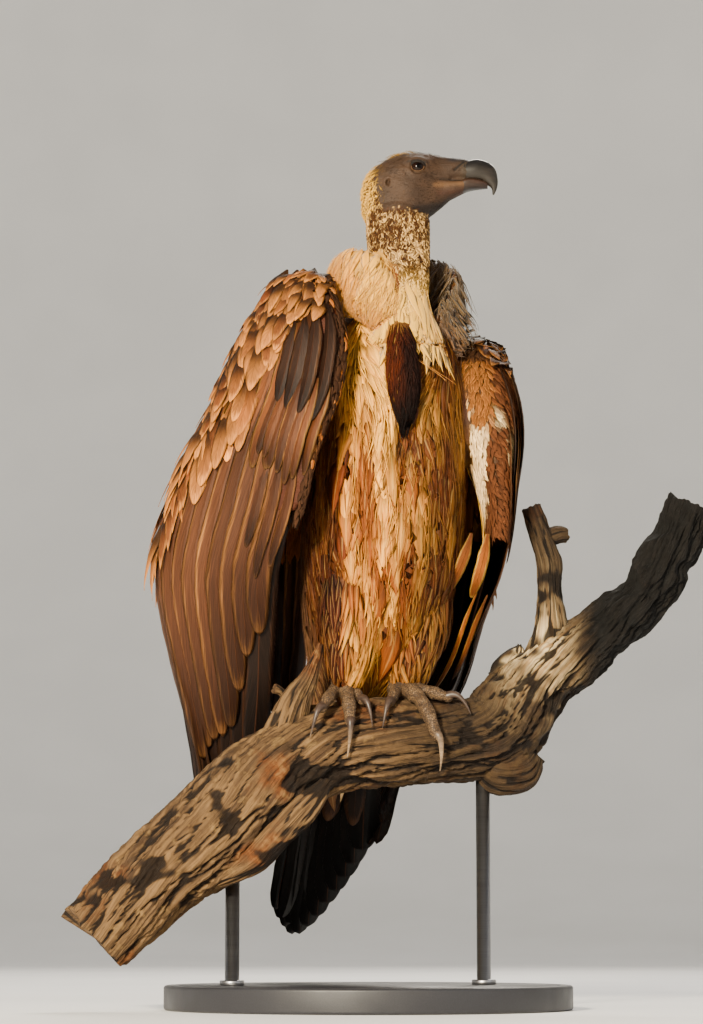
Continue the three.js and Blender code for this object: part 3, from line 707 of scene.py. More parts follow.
@dataclass(frozen=True)
class FeatherFinish:
    """The finish of one kind of feather, over its own map: across the vane, and from root to tip."""

    name: str
    barbs: tuple[float, float] = (2.0, 60.0)  # streaks across the vane and along it
    slant: float = 0.22  # how far the barbs sweep forward to the edge
    contrast: float = 0.35
    rim: float = 0.3  # share of the half vane that the rim colour takes
    tip: float = 0.12
    rim_strength: float = 0.8
    rachis: Colour = (0.2, 0.12, 0.06)
    rachis_width: float = 0.05
    rachis_strength: float = 0.6
    root_shade: float = 0.45
    shaded: tuple[float, float] = (0.0, 0.45)  # where the shade at the root starts to fade, and where it ends
    tip_shade: float = 1.0
    roughness: float = 0.62
    sheen: float = 0.0
    bump: float = 0.0004

    def material(self) -> Material:
        """Tint, with rim colour at the edge and tip, streaks along the barbs, shade at the root and a rachis.

        Returns:
            The material.
        """
        r = Recipe(self.name)
        x, y, _ = r.parts(r.map("vane"))
        luck, _, _ = r.parts(r.tint("luck"))
        side = r.math("ABSOLUTE", r.math("MULTIPLY_ADD", x, 2.0, -1.0))
        swept = r.math("SUBTRACT", y, r.math("MULTIPLY", side, self.slant))
        grain = r.noise(r.vector(r.math("MULTIPLY", x, self.barbs[0]),
                                 r.math("MULTIPLY", swept, self.barbs[1]),
                                 r.math("MULTIPLY", luck, 61.0)), 1.0, 3.0)
        wander = r.math("MULTIPLY", r.math("SUBTRACT", grain, 0.5), 0.5)
        at_edge = r.step(r.math("ADD", side, wander), 1 - 1.3 * self.rim, 1 - 0.4 * self.rim)
        at_tip = r.step(r.math("ADD", y, r.math("MULTIPLY", wander, 0.4)), 1 - 1.3 * self.tip,
                        1 - 0.4 * self.tip)
        rim = r.math("MULTIPLY", r.math("MAXIMUM", at_edge, at_tip), self.rim_strength)
        colour = r.blend(rim, r.tint("tint"), r.tint("rim"))
        value = r.step(grain, 0.25, 0.75, 1 - self.contrast, 1 + self.contrast)
        shade = r.math("MULTIPLY", value, r.step(y, *self.shaded, self.root_shade, 1.0))
        shade = r.math("MULTIPLY", shade, r.step(y, 0.5, 0.95, 1.0, self.tip_shade))
        colour = r.dimmed(colour, shade)
        spine = r.math("MULTIPLY", r.step(side, self.rachis_width * 0.6, self.rachis_width * 1.5, 1.0, 0.0),
                       self.rachis_strength)
        colour = r.blend(spine, colour, self.rachis)
        ridge = r.math("ADD", grain, r.math("MULTIPLY", spine, 1.5))
        return r.done(colour, self.roughness, r.bump(ridge, self.bump), Sheen_Weight=self.sheen,
                      Sheen_Roughness=0.5, Specular_IOR_Level=0.14)


# ---------------------------------------------------------------- feathers
@dataclass(frozen=True)
class Vane:
    """The shape of one kind of feather. Sizes are in millimetres, and shares are of its length."""

    length: float
    half: float
    stations: int = 7
    loop: int = 6  # corners round its section: 4, 6 or 8
    shoulder: float = 0.5  # where it starts to narrow
    power: float = 2.2
    blunt: float = 0.5
    quill: float = 0.3  # width at the root as a share of the full width
    camber: float = 0.22
    thick: float = 0.6
    base: float = 0.3  # height of the root over the surface
    lift: float = 0.06
    droop: float = 0.3
    fray: float = 0.04
    roll: float = 0.0

    def section(self) -> tuple[Array, Array, Array]:
        """Corners of the section: place across, height as a share of the camber, and 1 for the under side."""
        if self.loop == 4:
            return np.array([-1, 0, 1, 0.0]), np.array([0, 1, 0, 1.0]), np.array([0, 0, 0, 1.0])
        if self.loop == 6:
            return (np.array([-1, -0.5, 0, 0.5, 1, 0.0]), np.array([0, 0.75, 1, 0.75, 0, 1.0]),
                    np.array([0, 0, 0, 0, 0, 1.0]))
        return (np.array([-1, -0.6, -0.12, 0, 0.12, 0.6, 1, 0.0]),
                np.array([0, 0.7, 0.92, 1.12, 0.92, 0.7, 0, 1.0]),
                np.array([0, 0, 0, 0, 0, 0, 0, 1.0]))

    def stops(self) -> Array:
        """Shares of the length where its sections stand, closer together towards the tip."""
        f = np.linspace(0, 1, self.stations)
        return (1 - (1 - f) ** 1.5) * 0.985

    def width(self, t: Array) -> Array:
        """Half width at t, as a share of the widest."""
        x = np.clip((t - self.shoulder) / (1 - self.shoulder), 0, 1)
        return mix(self.quill, 1.0, smooth(0, 0.3, t)) * np.maximum(1 - x ** self.power, 0) ** self.blunt

    def built(self, spine: Array, normal: Array, luck: Luck, place: Place, size: Array,
              roots: Array, tint: Array, rim: Array, patch: Array | float = PATCH) -> Shape:
        """Closed vanes on given spines.

        Args:
            spine: Points of each feather's line, feathers by stations.
            normal: The way its upper face looks, at each point.
            luck: Source of chance.
            place: The frame that the spines are in.
            size: Length and half width of each feather.
            roots: Its place on the bake map.
            tint: Its own colour.
            rim: The colour of its edge.
            patch: Size of its patch on the bake map, one number or two.
        Returns:
            The shape, with maps "vane" and "OFBake" and tints "tint", "rim" and "luck".
        """
        count = len(spine)
        t = self.stops()
        length, half = size[:, 0:1], size[:, 1:2]
        ahead = unit(np.gradient(spine, axis=1))
        side = unit(np.cross(normal, ahead))
        rise = np.clip(self.lift + self.lift * 0.5 * luck.standard_normal((count, 1)), 0, 0.6)
        height = self.base + length * rise * (t - self.droop * t ** 2)
        turn = np.radians(self.roll) + 0.06 * luck.standard_normal((count, 1, 1))
        slope = side * np.cos(turn) + normal * np.sin(turn)
        middle = spine + normal * height[..., None]
        a, high, under = self.section()
        wide = half * self.width(t)
        rough = 1 + self.fray * luck.standard_normal((count, len(t), len(a))) * np.abs(a)
        across = wide[..., None] * a * rough
        up = (self.camber * wide)[..., None] * high - self.thick * under
        points = middle[:, :, None] + slope[:, :, None] * across[..., None] + normal[:, :, None] * up[...,
                                                                                                      None]
        tip = middle[:, -1] + ahead[:, -1] * length * 0.015
        root = middle[:, 0] - ahead[:, 0] * 0.5
        return self._closed(points, root, tip, place, roots, tint, rim, luck, patch)

    def _closed(self, points: Array, root: Array, tip: Array, place: Place, roots: Array, tint: Array,
                rim: Array,
                luck: Luck, patch: Array | float) -> Shape:
        """Joins each feather's sections to each other and to its two end points, and gives it its maps.

        Args:
            points: Corners of every section: feathers, stations, corners.
            root: First point of each.
            tip: Last point of each.
            place: The frame that the points are in.
            roots: Place of each on the bake map.
            tint: Colour of each.
            rim: Edge colour of each.
            luck: Source of chance.
            patch: Size of each one's patch on the bake map.
        Returns:
            All of them as one shape.
        """
        count, stations, loop = points.shape[:3]
        each = stations * loop + 2
        flat = np.concatenate([points.reshape(count, -1, 3), root[:, None], tip[:, None]], 1).reshape(-1, 3)
        first = (np.arange(count) * each)[:, None, None]
        quads = (bands(stations, loop)[None, :, [0, 3, 2, 1]] + first).reshape(-1, 4)
        ring = np.arange(loop)
        after = (ring + 1) % loop
        near, far = stations * loop, stations * loop + 1
        fans = np.concatenate([np.stack([ring, after, np.full(loop, near)], -1),
                               np.stack([(stations - 1) * loop + after, (stations - 1) * loop + ring,
                                         np.full(loop, far)], -1)])
        tris = (fans[None] + first).reshape(-1, 3)
        x = np.concatenate([np.tile(self.section()[0] / 2 + 0.5, stations), [0.5, 0.5]])
        y = np.concatenate([np.repeat(self.stops(), loop), [0.0, 1.0]])
        vane = stacked(x, y)
        bake = roots[:, None] + (vane - 0.5) * patch
        chance = luck.random((count, 3))
        return Shape(place.world(flat), quads, tris,
                     {"vane": np.tile(vane, (count, 1)), "OFBake": bake.reshape(-1, 2)},
                     {"tint": np.repeat(tint, each, 0), "rim": np.repeat(rim, each, 0),
                      "luck": np.repeat(chance, each, 0)})


@dataclass(frozen=True)
class Quill(Vane):
    """A long stiff feather that keeps to its spine."""

    loop: int = 8
    base: float = 0.0
    lift: float = 0.0
    droop: float = 0.0


@dataclass(frozen=True)
class Hair(Vane):
    """A narrow wisp, strand, tuft or bristle."""

    stations: int = 4
    loop: int = 4
    shoulder: float = 0.3
    power: float = 1.2
    blunt: float = 0.9


def walked(surface: Surface, u: Array, v: Array, flow: Flow, turn: Array, length: Array, stops: Array
           ) -> tuple[Array, Array]:
    """Spines laid over a surface: from each root the line follows the flow, held to the surface.

    Args:
        surface: What they lie on.
        u: First parameter of each root.
        v: Second parameter of each root.
        flow: The way the plumage lies at given points.
        turn: How far each feather turns from the flow, in radians.
        length: Length of each feather.
        stops: Shares of the length where its points stand.
    Returns:
        Points and surface normals, feathers by stations.
    """
    points, normals = [], []
    gaps = np.diff(stops, append=stops[-1])
    for gap in gaps:
        p, n, du, dv = surface.tangents(u, v)
        points.append(p)
        normals.append(n)
        way = flow(p)
        way = unit(way - n * (way * n).sum(-1, keepdims=True))
        way = way * np.cos(turn)[:, None] + np.cross(n, way) * np.sin(turn)[:, None]
        e, f, g = (du * du).sum(-1), (du * dv).sum(-1), (dv * dv).sum(-1)
        a, b = (way * du).sum(-1), (way * dv).sum(-1)
        area = np.maximum(e * g - f * f, 1e-3 * e * g + 1e-9)
        step = gap * length
        u = u + step * (a * g - b * f) / area
        v = v + step * (b * e - a * f) / area
    return np.stack(points, 1), np.stack(normals, 1)


def down(p: Array) -> Array:
    """Straight down everywhere."""
    return np.broadcast_to(np.array([0.0, 0.0, -1.0]), p.shape)


@dataclass
class Roots:
    """Where feathers grow: parameters on their surface, and each one's size as a share of its kind's."""

    u: Array
    v: Array
    scale: Array

    def kept(self, mask: Array) -> "Roots":
        """Only the roots that the mask keeps."""
        return Roots(self.u[mask], self.v[mask], self.scale[mask])


def scattered(surface: Surface, luck: Luck, apart: float, low: tuple[float, float] = (0, 0),
              high: tuple[float, float] = (1, 1), jitter: float = 0.5, ratio: float = 1.0) -> Roots:
    """Roots in staggered rows at an even distance over a surface.

    Args:
        surface: What they grow on.
        luck: Source of chance.
        apart: Distance between rows in millimetres.
        low: Least u and v.
        high: Greatest u and v.
        jitter: How far they stray, as a share of the distance.
        ratio: Distance within a row over the distance between rows.
    Returns:
        The roots, with scale 1.
    """
    fine = np.linspace(low[1], high[1], 60)
    middle = surface.point(np.full(60, (low[0] + high[0]) / 2), fine)
    run = run_of(middle)
    rows = max(int(run[-1] / apart), 1)
    v_rows = np.interp((np.arange(rows) + 0.5) / rows * run[-1], run, fine)
    us, vs = [], []
    for k, v in enumerate(v_rows):
        across = np.linspace(low[0], high[0], 80)
        ring = surface.point(across, np.full(80, v))
        width = run_of(ring)
        count = max(int(width[-1] / (apart * ratio)), 1)
        share = (np.arange(count) + 0.25 + 0.5 * (k % 2)) / count
        stray = jitter * luck.uniform(-0.5, 0.5, (2, count))
        us.append(np.interp(np.clip(share + stray[0] / count, 0, 1) * width[-1], width, across))
        vs.append(v + stray[1] * (high[1] - low[1]) / rows)
    u, v = np.concatenate(us), np.concatenate(vs)
    return Roots(u, v, np.ones_like(u))


@dataclass
class Coat:
    """A piece of plumage: many vanes of one finish, joined into one mesh."""

    name: str
    slot: str
    material: Material
    nodes: tuple[str, ...] = ()
    shapes: list[Shape] = field(default_factory=list)

    def grow(self, surface: Surface, roots: Roots, vane: Vane, flow: Flow, luck: Luck,
             colours: Colouring, stray: float = 0.1,
             place: Place = BIRD,
             window: tuple[float, float, float, float] = (0.01, 0.01, 0.98, 0.98)) -> "Coat":
        """Adds a feather at each root.

        Args:
            surface: What they grow on.
            roots: Where.
            vane: Their shape.
            flow: The way they lie.
            luck: Source of chance.
            colours: Gives tint and rim for given points in the row.
            stray: How far each turns from the flow, in radians.
            place: The frame that the surface is in.
            window: The part of the bake map that the surface's unwrap takes: left, bottom, width, height.
        Returns:
            The coat itself, so that it can be made at once.
        """
        count = len(roots.u)
        scale = roots.scale * luck.uniform(0.88, 1.12, count)
        size = stacked(vane.length * scale, vane.half * roots.scale * luck.uniform(0.88, 1.12, count))
        turn = stray * luck.standard_normal(count)
        spine, normal = walked(surface, roots.u, roots.v, flow, turn, size[:, 0], vane.stops())
        tint, rim = colours(place.world(spine[:, 0]), luck)
        at = stacked(window[0] + window[2] * np.mod(roots.u, 1.0),
                     window[1] + window[3] * np.clip(roots.v, 0, 1))
        self.shapes.append(vane.built(spine, normal, luck, place, size, at, tint, rim))
        return self

    def made(self) -> bpy.types.Object:
        """The joined mesh, with its finish and its body; the solids that it stands for are hidden."""
        shape = joined(self.shapes)
        piece = shape.made(self.name)
        dress(piece, self.material, self.slot, *self.nodes)
        return piece


def dress(piece: bpy.types.Object, material: Material, slot: str, *nodes: str) -> bpy.types.Object:
    """Gives a piece its finish and its body, hides the CAD nodes it stands for, and logs it.

    Args:
        piece: The object.
        material: Its finish.
        slot: What it is made of, in the record's words.
        nodes: Names of the solids that it stands for.
    Returns:
        The same object.
    """
    piece.data.materials.append(material)
    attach(piece, "root")
    if nodes:
        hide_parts(*nodes)
    log.info("%s: %d faces, %s", piece.name, len(piece.data.polygons), slot)
    return piece


# ---------------------------------------------------------------- skin
def fused(shapes: Sequence[Shape], voxel: float, relax: int) -> Shape:
    """Closed shapes fused into one even skin of square faces.

    Args:
        shapes: Overlapping closed shapes, in metres.
        voxel: Size of its faces in metres.
        relax: Times that it is smoothed.
    Returns:
        The skin's points and quads.
    """
    rough = joined([outward(s) for s in shapes]).made("rough")
    remesh = rough.modifiers.new("remesh", "REMESH")
    remesh.mode = "VOXEL"
    remesh.voxel_size = voxel
    soft = rough.modifiers.new("soft", "SMOOTH")
    soft.factor = 0.5
    soft.iterations = relax
    mesh = rough.evaluated_get(bpy.context.evaluated_depsgraph_get()).to_mesh()
    points = np.zeros(len(mesh.vertices) * 3, np.float32)
    mesh.vertices.foreach_get("co", points)
    corners = np.zeros(len(mesh.loops), np.int32)
    mesh.loops.foreach_get("vertex_index", corners)
    bpy.data.objects.remove(rough)
    return Shape(points.reshape(-1, 3).astype(float), corners.reshape(-1, 4).astype(int))


def normals_of(shape: Shape) -> Array:
    """Unit normal at each point, from the faces round it.

    Args:
        shape: A shape of quads.
    Returns:
        One vector for each point.
    """
    a, b, c, d = (shape.points[shape.quads[:, k]] for k in range(4))
    face = np.cross(c - a, d - b)
    total = np.zeros_like(shape.points)
    for k in range(4):
        np.add.at(total, shape.quads[:, k], face)
    return unit(total)


def bell(p: Array, middle: Sequence[float], reach: Sequence[float]) -> Array:
    """A bell over the distance from a point, with its own reach along each axis.

    Args:
        p: Points.
        middle: Where it is 1.
        reach: Its reach along each axis.
    Returns:
        Numbers from 0 to 1.
    """
    return np.exp(-(((p - np.array(middle)) / np.array(reach)) ** 2).sum(-1))


def crease(x: Array, z: Array, start: tuple[float, float], end: tuple[float, float], width: float) -> Array:
    """A bell over the distance from a straight line between two points of the x-z plane.

    Args:
        x: First coordinate of each point.
        z: Last coordinate of each point.
        start: Start of the line.
        end: End of the line.
        width: Its reach to either side.
    Returns:
        Numbers from 0 to 1.
    """
    a, b = np.array(start), np.array(end)
    p = stacked(x, z)
    t = np.clip(((p - a) @ (b - a)) / ((b - a) @ (b - a)), 0, 1)
    return np.exp(-(np.linalg.norm(p - a - t[..., None] * (b - a), axis=-1) / width) ** 2)


# ---------------------------------------------------------------- markings
class Shade(Enum):
    """Colours of the plumage and the bare parts."""

    CREAM = paint("ecc462")
    GOLD = paint("ae6c2a")
    RUST = paint("5f300f")
    COVERT = paint("53321a")
    COVERT_RIM = paint("bf894c")
    QUILL = paint("4a3121")
    QUILL_RIM = paint("8c6740")
    DARK_QUILL = paint("150e0a")
    DARK_RIM = paint("2a1c14")
    CROP = paint("43200b")
    DOWN_PALE = paint("cfae78")
    DOWN_DARK = paint("3f2a16")
    SKIN = paint("30241a")
    SKIN_DARK = paint("120c08")
    JAW = paint("5e4730")
    WHITE = paint("f2dcae")
    RUFF = paint("c8982a")
    RUFF_EDGE = paint("9c501a")
    # painted shade colour, for the shaded left side of the ruff
    SHADOW_GREY = paint("1b1d21")

    @property
    def rgb(self) -> Array:
        """The colour as an array."""
        return np.array(self.value)


def speckled(count: int, luck: Luck, shades: Sequence[Shade], weights: Array, wander: float) -> Array:
    """Colours mixed from shades by weights, each a little lighter or darker.

    Args:
        count: How many.
        luck: Source of chance.
        shades: The shades.
        weights: Their weights, one row for each colour.
        wander: Spread of the lightness.
    """
    base = weights / weights.sum(-1, keepdims=True) @ np.array([shade.value for shade in shades])
    return base * np.exp(wander * luck.standard_normal((count, 1)))


def ahead_of(p: Array) -> Array:
    """How far points in the bird's frame lie from the stance along the row's +X."""
    return ACROSS[0] * p[..., 0] + ACROSS[1] * p[..., 1]


def body_colours(q: Array, luck: Luck) -> tuple[Array, Array]:
    """Breast, belly, flanks and back: cream and gold locks between rusty ones, white on the lower back.

    Args:
        q: Points in the row, in metres.
        luck: Source of chance.
    Returns:
        Tint and rim of each point.
    """
    p = BIRD.inside(q)
    count = len(p)
    back = smooth(-20, -70, p[:, 0])
    side = ahead_of(p)
    # painted highlight: the upper breast on the bird's right is made paler and brighter, as where light falls
    high = smooth(240, 320, p[:, 2]) * smooth(12, -12, side)
    lock = noise(p / np.array([11.0, 11.0, 58.0]), 6)
    pale = np.clip(0.26 + 1.5 * lock + 1.5 * high + 0.5 * smooth(130, 50, p[:, 2])
                   + 0.15 * luck.standard_normal(count), 0.02, 2.4)
    # the bird's left flank is rustier, and painted shade darkens the breast towards that side
    flank_rust_and_shade = smooth(-4, 44, side)
    weights = stacked(pale * (1 - back), 0.8, 0.35 + 1.2 * flank_rust_and_shade - 0.3 * high, 2.5 * back)
    shades = (Shade.CREAM, Shade.GOLD, Shade.RUST, Shade.WHITE)
    tone = np.exp(0.9 * (1 - 0.8 * high) * lock)[:, None] * mix(0.82, 0.28, flank_rust_and_shade)[:, None]
    # painted shade: the recess beside the right wing and the hollow below the crop are darkened
    painted_recess_shade = smooth(-34, -50, side)
    painted_pit_shade = 0.93 * bell(stacked(side, p[:, 2]), (14, 262), (13, 23)) + 0.85 * painted_recess_shade
    tone = tone * ((1 + 0.6 * high) * (1 - np.clip(painted_pit_shade, 0, 0.95)))[:, None]
    tone = tone * mix(1.0, np.array([1.1, 0.76, 0.7]), painted_recess_shade[:, None])
    tint = speckled(count, luck, shades, weights, 0.09) * tone
    edge = stacked(0.4 * pale, 0.7, np.clip(1.3 - 0.6 * pale - 0.7 * back, 0.1, 2), 1.6 * back)
    return tint, speckled(count, luck, shades, edge, 0.16) * tone


def crop_colours(q: Array, luck: Luck) -> tuple[Array, Array]:
    """The crop patch: rusty brown, with painted shade that darkens its left side and blackens its foot.

    Args:
        q: Points in the row, in metres.
        luck: Source of chance.
    Returns:
        Tint and rim of each point.
    """
    p = BIRD.inside(q)
    # painted shade: the crop darkens towards its left side and goes black at its foot
    dark = 0.04 + 0.6 * smooth(276, 322, p[:, 2]) * mix(1, 0.14, smooth(8, 19, ahead_of(p)))
    dark = dark * (1 + 0.5 * noise(p / np.array([4.0, 4.0, 26.0]), 3))
    tint = Shade.CROP.rgb * dark[:, None] * np.exp(0.15 * luck.standard_normal((len(p), 1)))
    return tint, tint * 1.4


def ruff_colours(q: Array, luck: Luck) -> tuple[Array, Array]:
    """The ruff: pale gold, orange at its outer side and foot, with painted shade in dark grey on the left.

    Args:
        q: Points in the row, in metres.
        luck: Source of chance.
    Returns:
        Tint and rim of each point.
    """
    p = BIRD.inside(q)
    foot = smooth(392, 360, p[:, 2]) * 1.2 + smooth(-48, -76, p[:, 1]) * 1.2
    # painted shade: the ruff's left side takes a dark grey
    shaded = 9.0 * smooth(-2, 26, p[:, 1])
    top = 0.8 * smooth(440, 454, p[:, 2]) * smooth(10, -20, p[:, 1])
    foot = foot + top
    weights = stacked(1, 0.35 + 0.4 * noise(p / 20, 8), foot, shaded)
    shades = (Shade.RUFF, Shade.CREAM, Shade.RUFF_EDGE, Shade.SHADOW_GREY)
    tint = speckled(len(p), luck, shades, np.maximum(weights, 0.01), 0.06)
    return tint, tint * 1.12


def down_colours(q: Array, luck: Luck) -> tuple[Array, Array]:
    """Neck down: brown with cream clumps, creamier behind and towards the foot of the neck.

    Args:
        q: Points in the row, in metres.
        luck: Source of chance.
    Returns:
        Tint and rim of each point.
    """
    p = BIRD.inside(q)
    clump = 1.9 * noise(p / 1.8, 21, 2) + 0.55 * noise(p / 13, 22) + 0.1 * luck.standard_normal(len(p))
    low = smooth(432, 372, p[:, 2])
    behind = smooth(-14, -30, ahead_of(p)) * smooth(500, 480, p[:, 2])
    brown = bell(stacked(ahead_of(p), p[:, 2]), (1, 458), (12, 15))
    near_skin = smooth(478, 496, p[:, 2])
    share = smooth(-0.35, 0.65, clump + 0.7 * low + 0.5 * behind - 0.6 * brown - 0.5 * near_skin)
    tint = mix(Shade.DOWN_DARK.rgb, Shade.DOWN_PALE.rgb, share[:, None])
    tint = mix(tint, Shade.CREAM.rgb, (0.7 * low)[:, None])
    return tint * np.exp(0.1 * luck.standard_normal((len(p), 1))), tint * 1.15


def collar_colours(q: Array, luck: Luck) -> tuple[Array, Array]:
    """The plumes at the foot of the neck: cream, with a little gold at their edges.

    Args:
        q: Points in the row, in metres.
        luck: Source of chance.
    Returns:
        Tint and rim of each point.
    """
    shades = (Shade.CREAM, Shade.GOLD)
    dim = np.array([0.8, 0.79, 0.64])
    return (speckled(len(q), luck, shades, np.tile([1, 0.15], (len(q), 1)), 0.07) * dim,
            speckled(len(q), luck, shades, np.tile([1, 0.4], (len(q), 1)), 0.07) * dim)


def covert_colours(q: Array, luck: Luck) -> tuple[Array, Array]:
    """Upper wing coverts and mantle.

    Brown with worn buff rims, darker towards the wrist, now and then rufous; painted shade blackens the
    top of the left wing.

    Args:
        q: Points in the row, in metres.
        luck: Source of chance.
    Returns:
        Tint and rim of each point.
    """
    p = BIRD.inside(q)
    count = len(p)
    worn = np.clip(0.55 + 0.5 * noise(p / 36, 11) + 0.45 * luck.standard_normal(count), 0.05, 1.8)
    # the second term is painted shade: it blackens the top of the left wing
    dark = smooth(372, 418, p[:, 2]) * 1.2 + 7 * smooth(334, 350, p[:, 2]) * (p[:, 1] > 60)
    red = 1.6 * (luck.random(count) > 0.88)
    shades = (Shade.COVERT, Shade.COVERT_RIM, Shade.DARK_QUILL, Shade.RUST)
    tint = speckled(count, luck, shades, stacked(1, worn, dark, red), 0.18)
    edge = stacked(0.25, 1, 0.25 * dark, 0.3 * red)
    return tint, speckled(count, luck, shades, edge, 0.16)


def edge_colours(q: Array, luck: Luck) -> tuple[Array, Array]:
    """Small feathers of the leading edges.

    The right one is painted dark as shade, with a few pale ones and a tan bunch half-way down. The left
    one has gold scales over a cream strip and white spots, and brown scales outside them; painted shade
    darkens its inner side and lays a black cap over its top.

    Args:
        q: Points in the row, in metres.
        luck: Source of chance.
    Returns:
        Tint and rim of each point.
    """
    p = BIRD.inside(q)
    count = len(p)
    side, z = ahead_of(p), p[:, 2]
    place = stacked(side, z)
    bunch = bell(place, (-74, 275), (6, 24)) * 4
    few = 3.0 * (luck.random(count) > 0.93)
    # painted shade: most feathers of the right edge are blackish
    right = stacked(0, 0.04 + bunch, 0.35 + 0.4 * bunch, 2.6 * np.exp(-2 * bunch))
    right[:, 1] += few * (1 - smooth(230, 200, z))
    inner = 78 - 10 * smooth(215, 170, z)
    strip = smooth(0, 4, side - inner) * smooth(98, 94, side) * smooth(276, 266, z)
    white = 3 * bell(place, (76, 288), (4, 10)) + 3 * bell(place, (107, 279), (4, 6))
    white = white + 2 * bell(place, (120, 252), (3, 11))
    gold = smooth(66, 72, side) * smooth(104, 98, side) * smooth(262, 276, z)
    left = stacked(3.6 * strip + white, 0.75 * gold + 1.2 * strip, 1.2 * (1 - strip), 0.6 * (1 - strip))
    # painted shade: a black cap over the top of the left edge, and dark feathers on its inner side by the
    # body
    left[:, 3] += 14 * smooth(338, 350, z) + 2.5 * smooth(72, 64, side) - 0.4 * gold
    weights = np.maximum(np.where(p[:, 1:2] > 0, left, right), 0.01)
    tint = speckled(count, luck, (Shade.WHITE, Shade.GOLD, Shade.COVERT, Shade.DARK_QUILL), weights, 0.2)
    scales = (gold * (p[:, 1] > 0) * (white < 0.5))[:, None]
    tint = tint * mix(1.0, np.array([0.6, 0.72, 0.8]), scales)
    edge = weights * np.array([1.3, 1.2, 0.7, 0.7])
    return tint, speckled(count, luck, (Shade.WHITE, Shade.COVERT_RIM, Shade.COVERT, Shade.DARK_QUILL), edge,
                          0.14)


def under_colours(q: Array, luck: Luck) -> tuple[Array, Array]:
    """Under wing coverts: cream near the leading edge, browner behind.

    Args:
        q: Points in the row, in metres.
        luck: Source of chance.
    Returns:
        Tint and rim of each point.
    """
    p = BIRD.inside(q)
    white = smooth(-30, 40, p[:, 0]) * smooth(300, 270, p[:, 2]) + 0.35 * noise(p / 30, 14)
    weights = stacked(np.clip(white, 0.02, 1.3), 0.3, np.clip(1.5 - 1.5 * white, 0.05, 2))
    tint = speckled(len(p), luck, (Shade.CREAM, Shade.GOLD, Shade.COVERT), weights, 0.14)
    return tint, tint * 1.35


def quill_colours(dark: float, gold: float = 0.0) -> Colouring:
    """Flight feathers: from brown (dark 0) to blackish (dark 1), or with a share of gold.

    Args:
        dark: Share of blackish.
        gold: Share of gold.
    Returns:
        A function for a coat to call.
    """
    def colours(q: Array, luck: Luck) -> tuple[Array, Array]:
        """Tint and rim for each point."""
        weights = np.tile([max((1 - dark) * (1 - gold), 0.0), dark + 0.05, gold], (len(q), 1))
        weights = weights * np.exp(0.5 * luck.standard_normal(weights.shape))
        return (speckled(len(q), luck, (Shade.QUILL, Shade.DARK_QUILL, Shade.GOLD), weights, 0.16),
                speckled(len(q), luck, (Shade.QUILL_RIM, Shade.DARK_RIM, Shade.CREAM), weights, 0.16))
    return colours


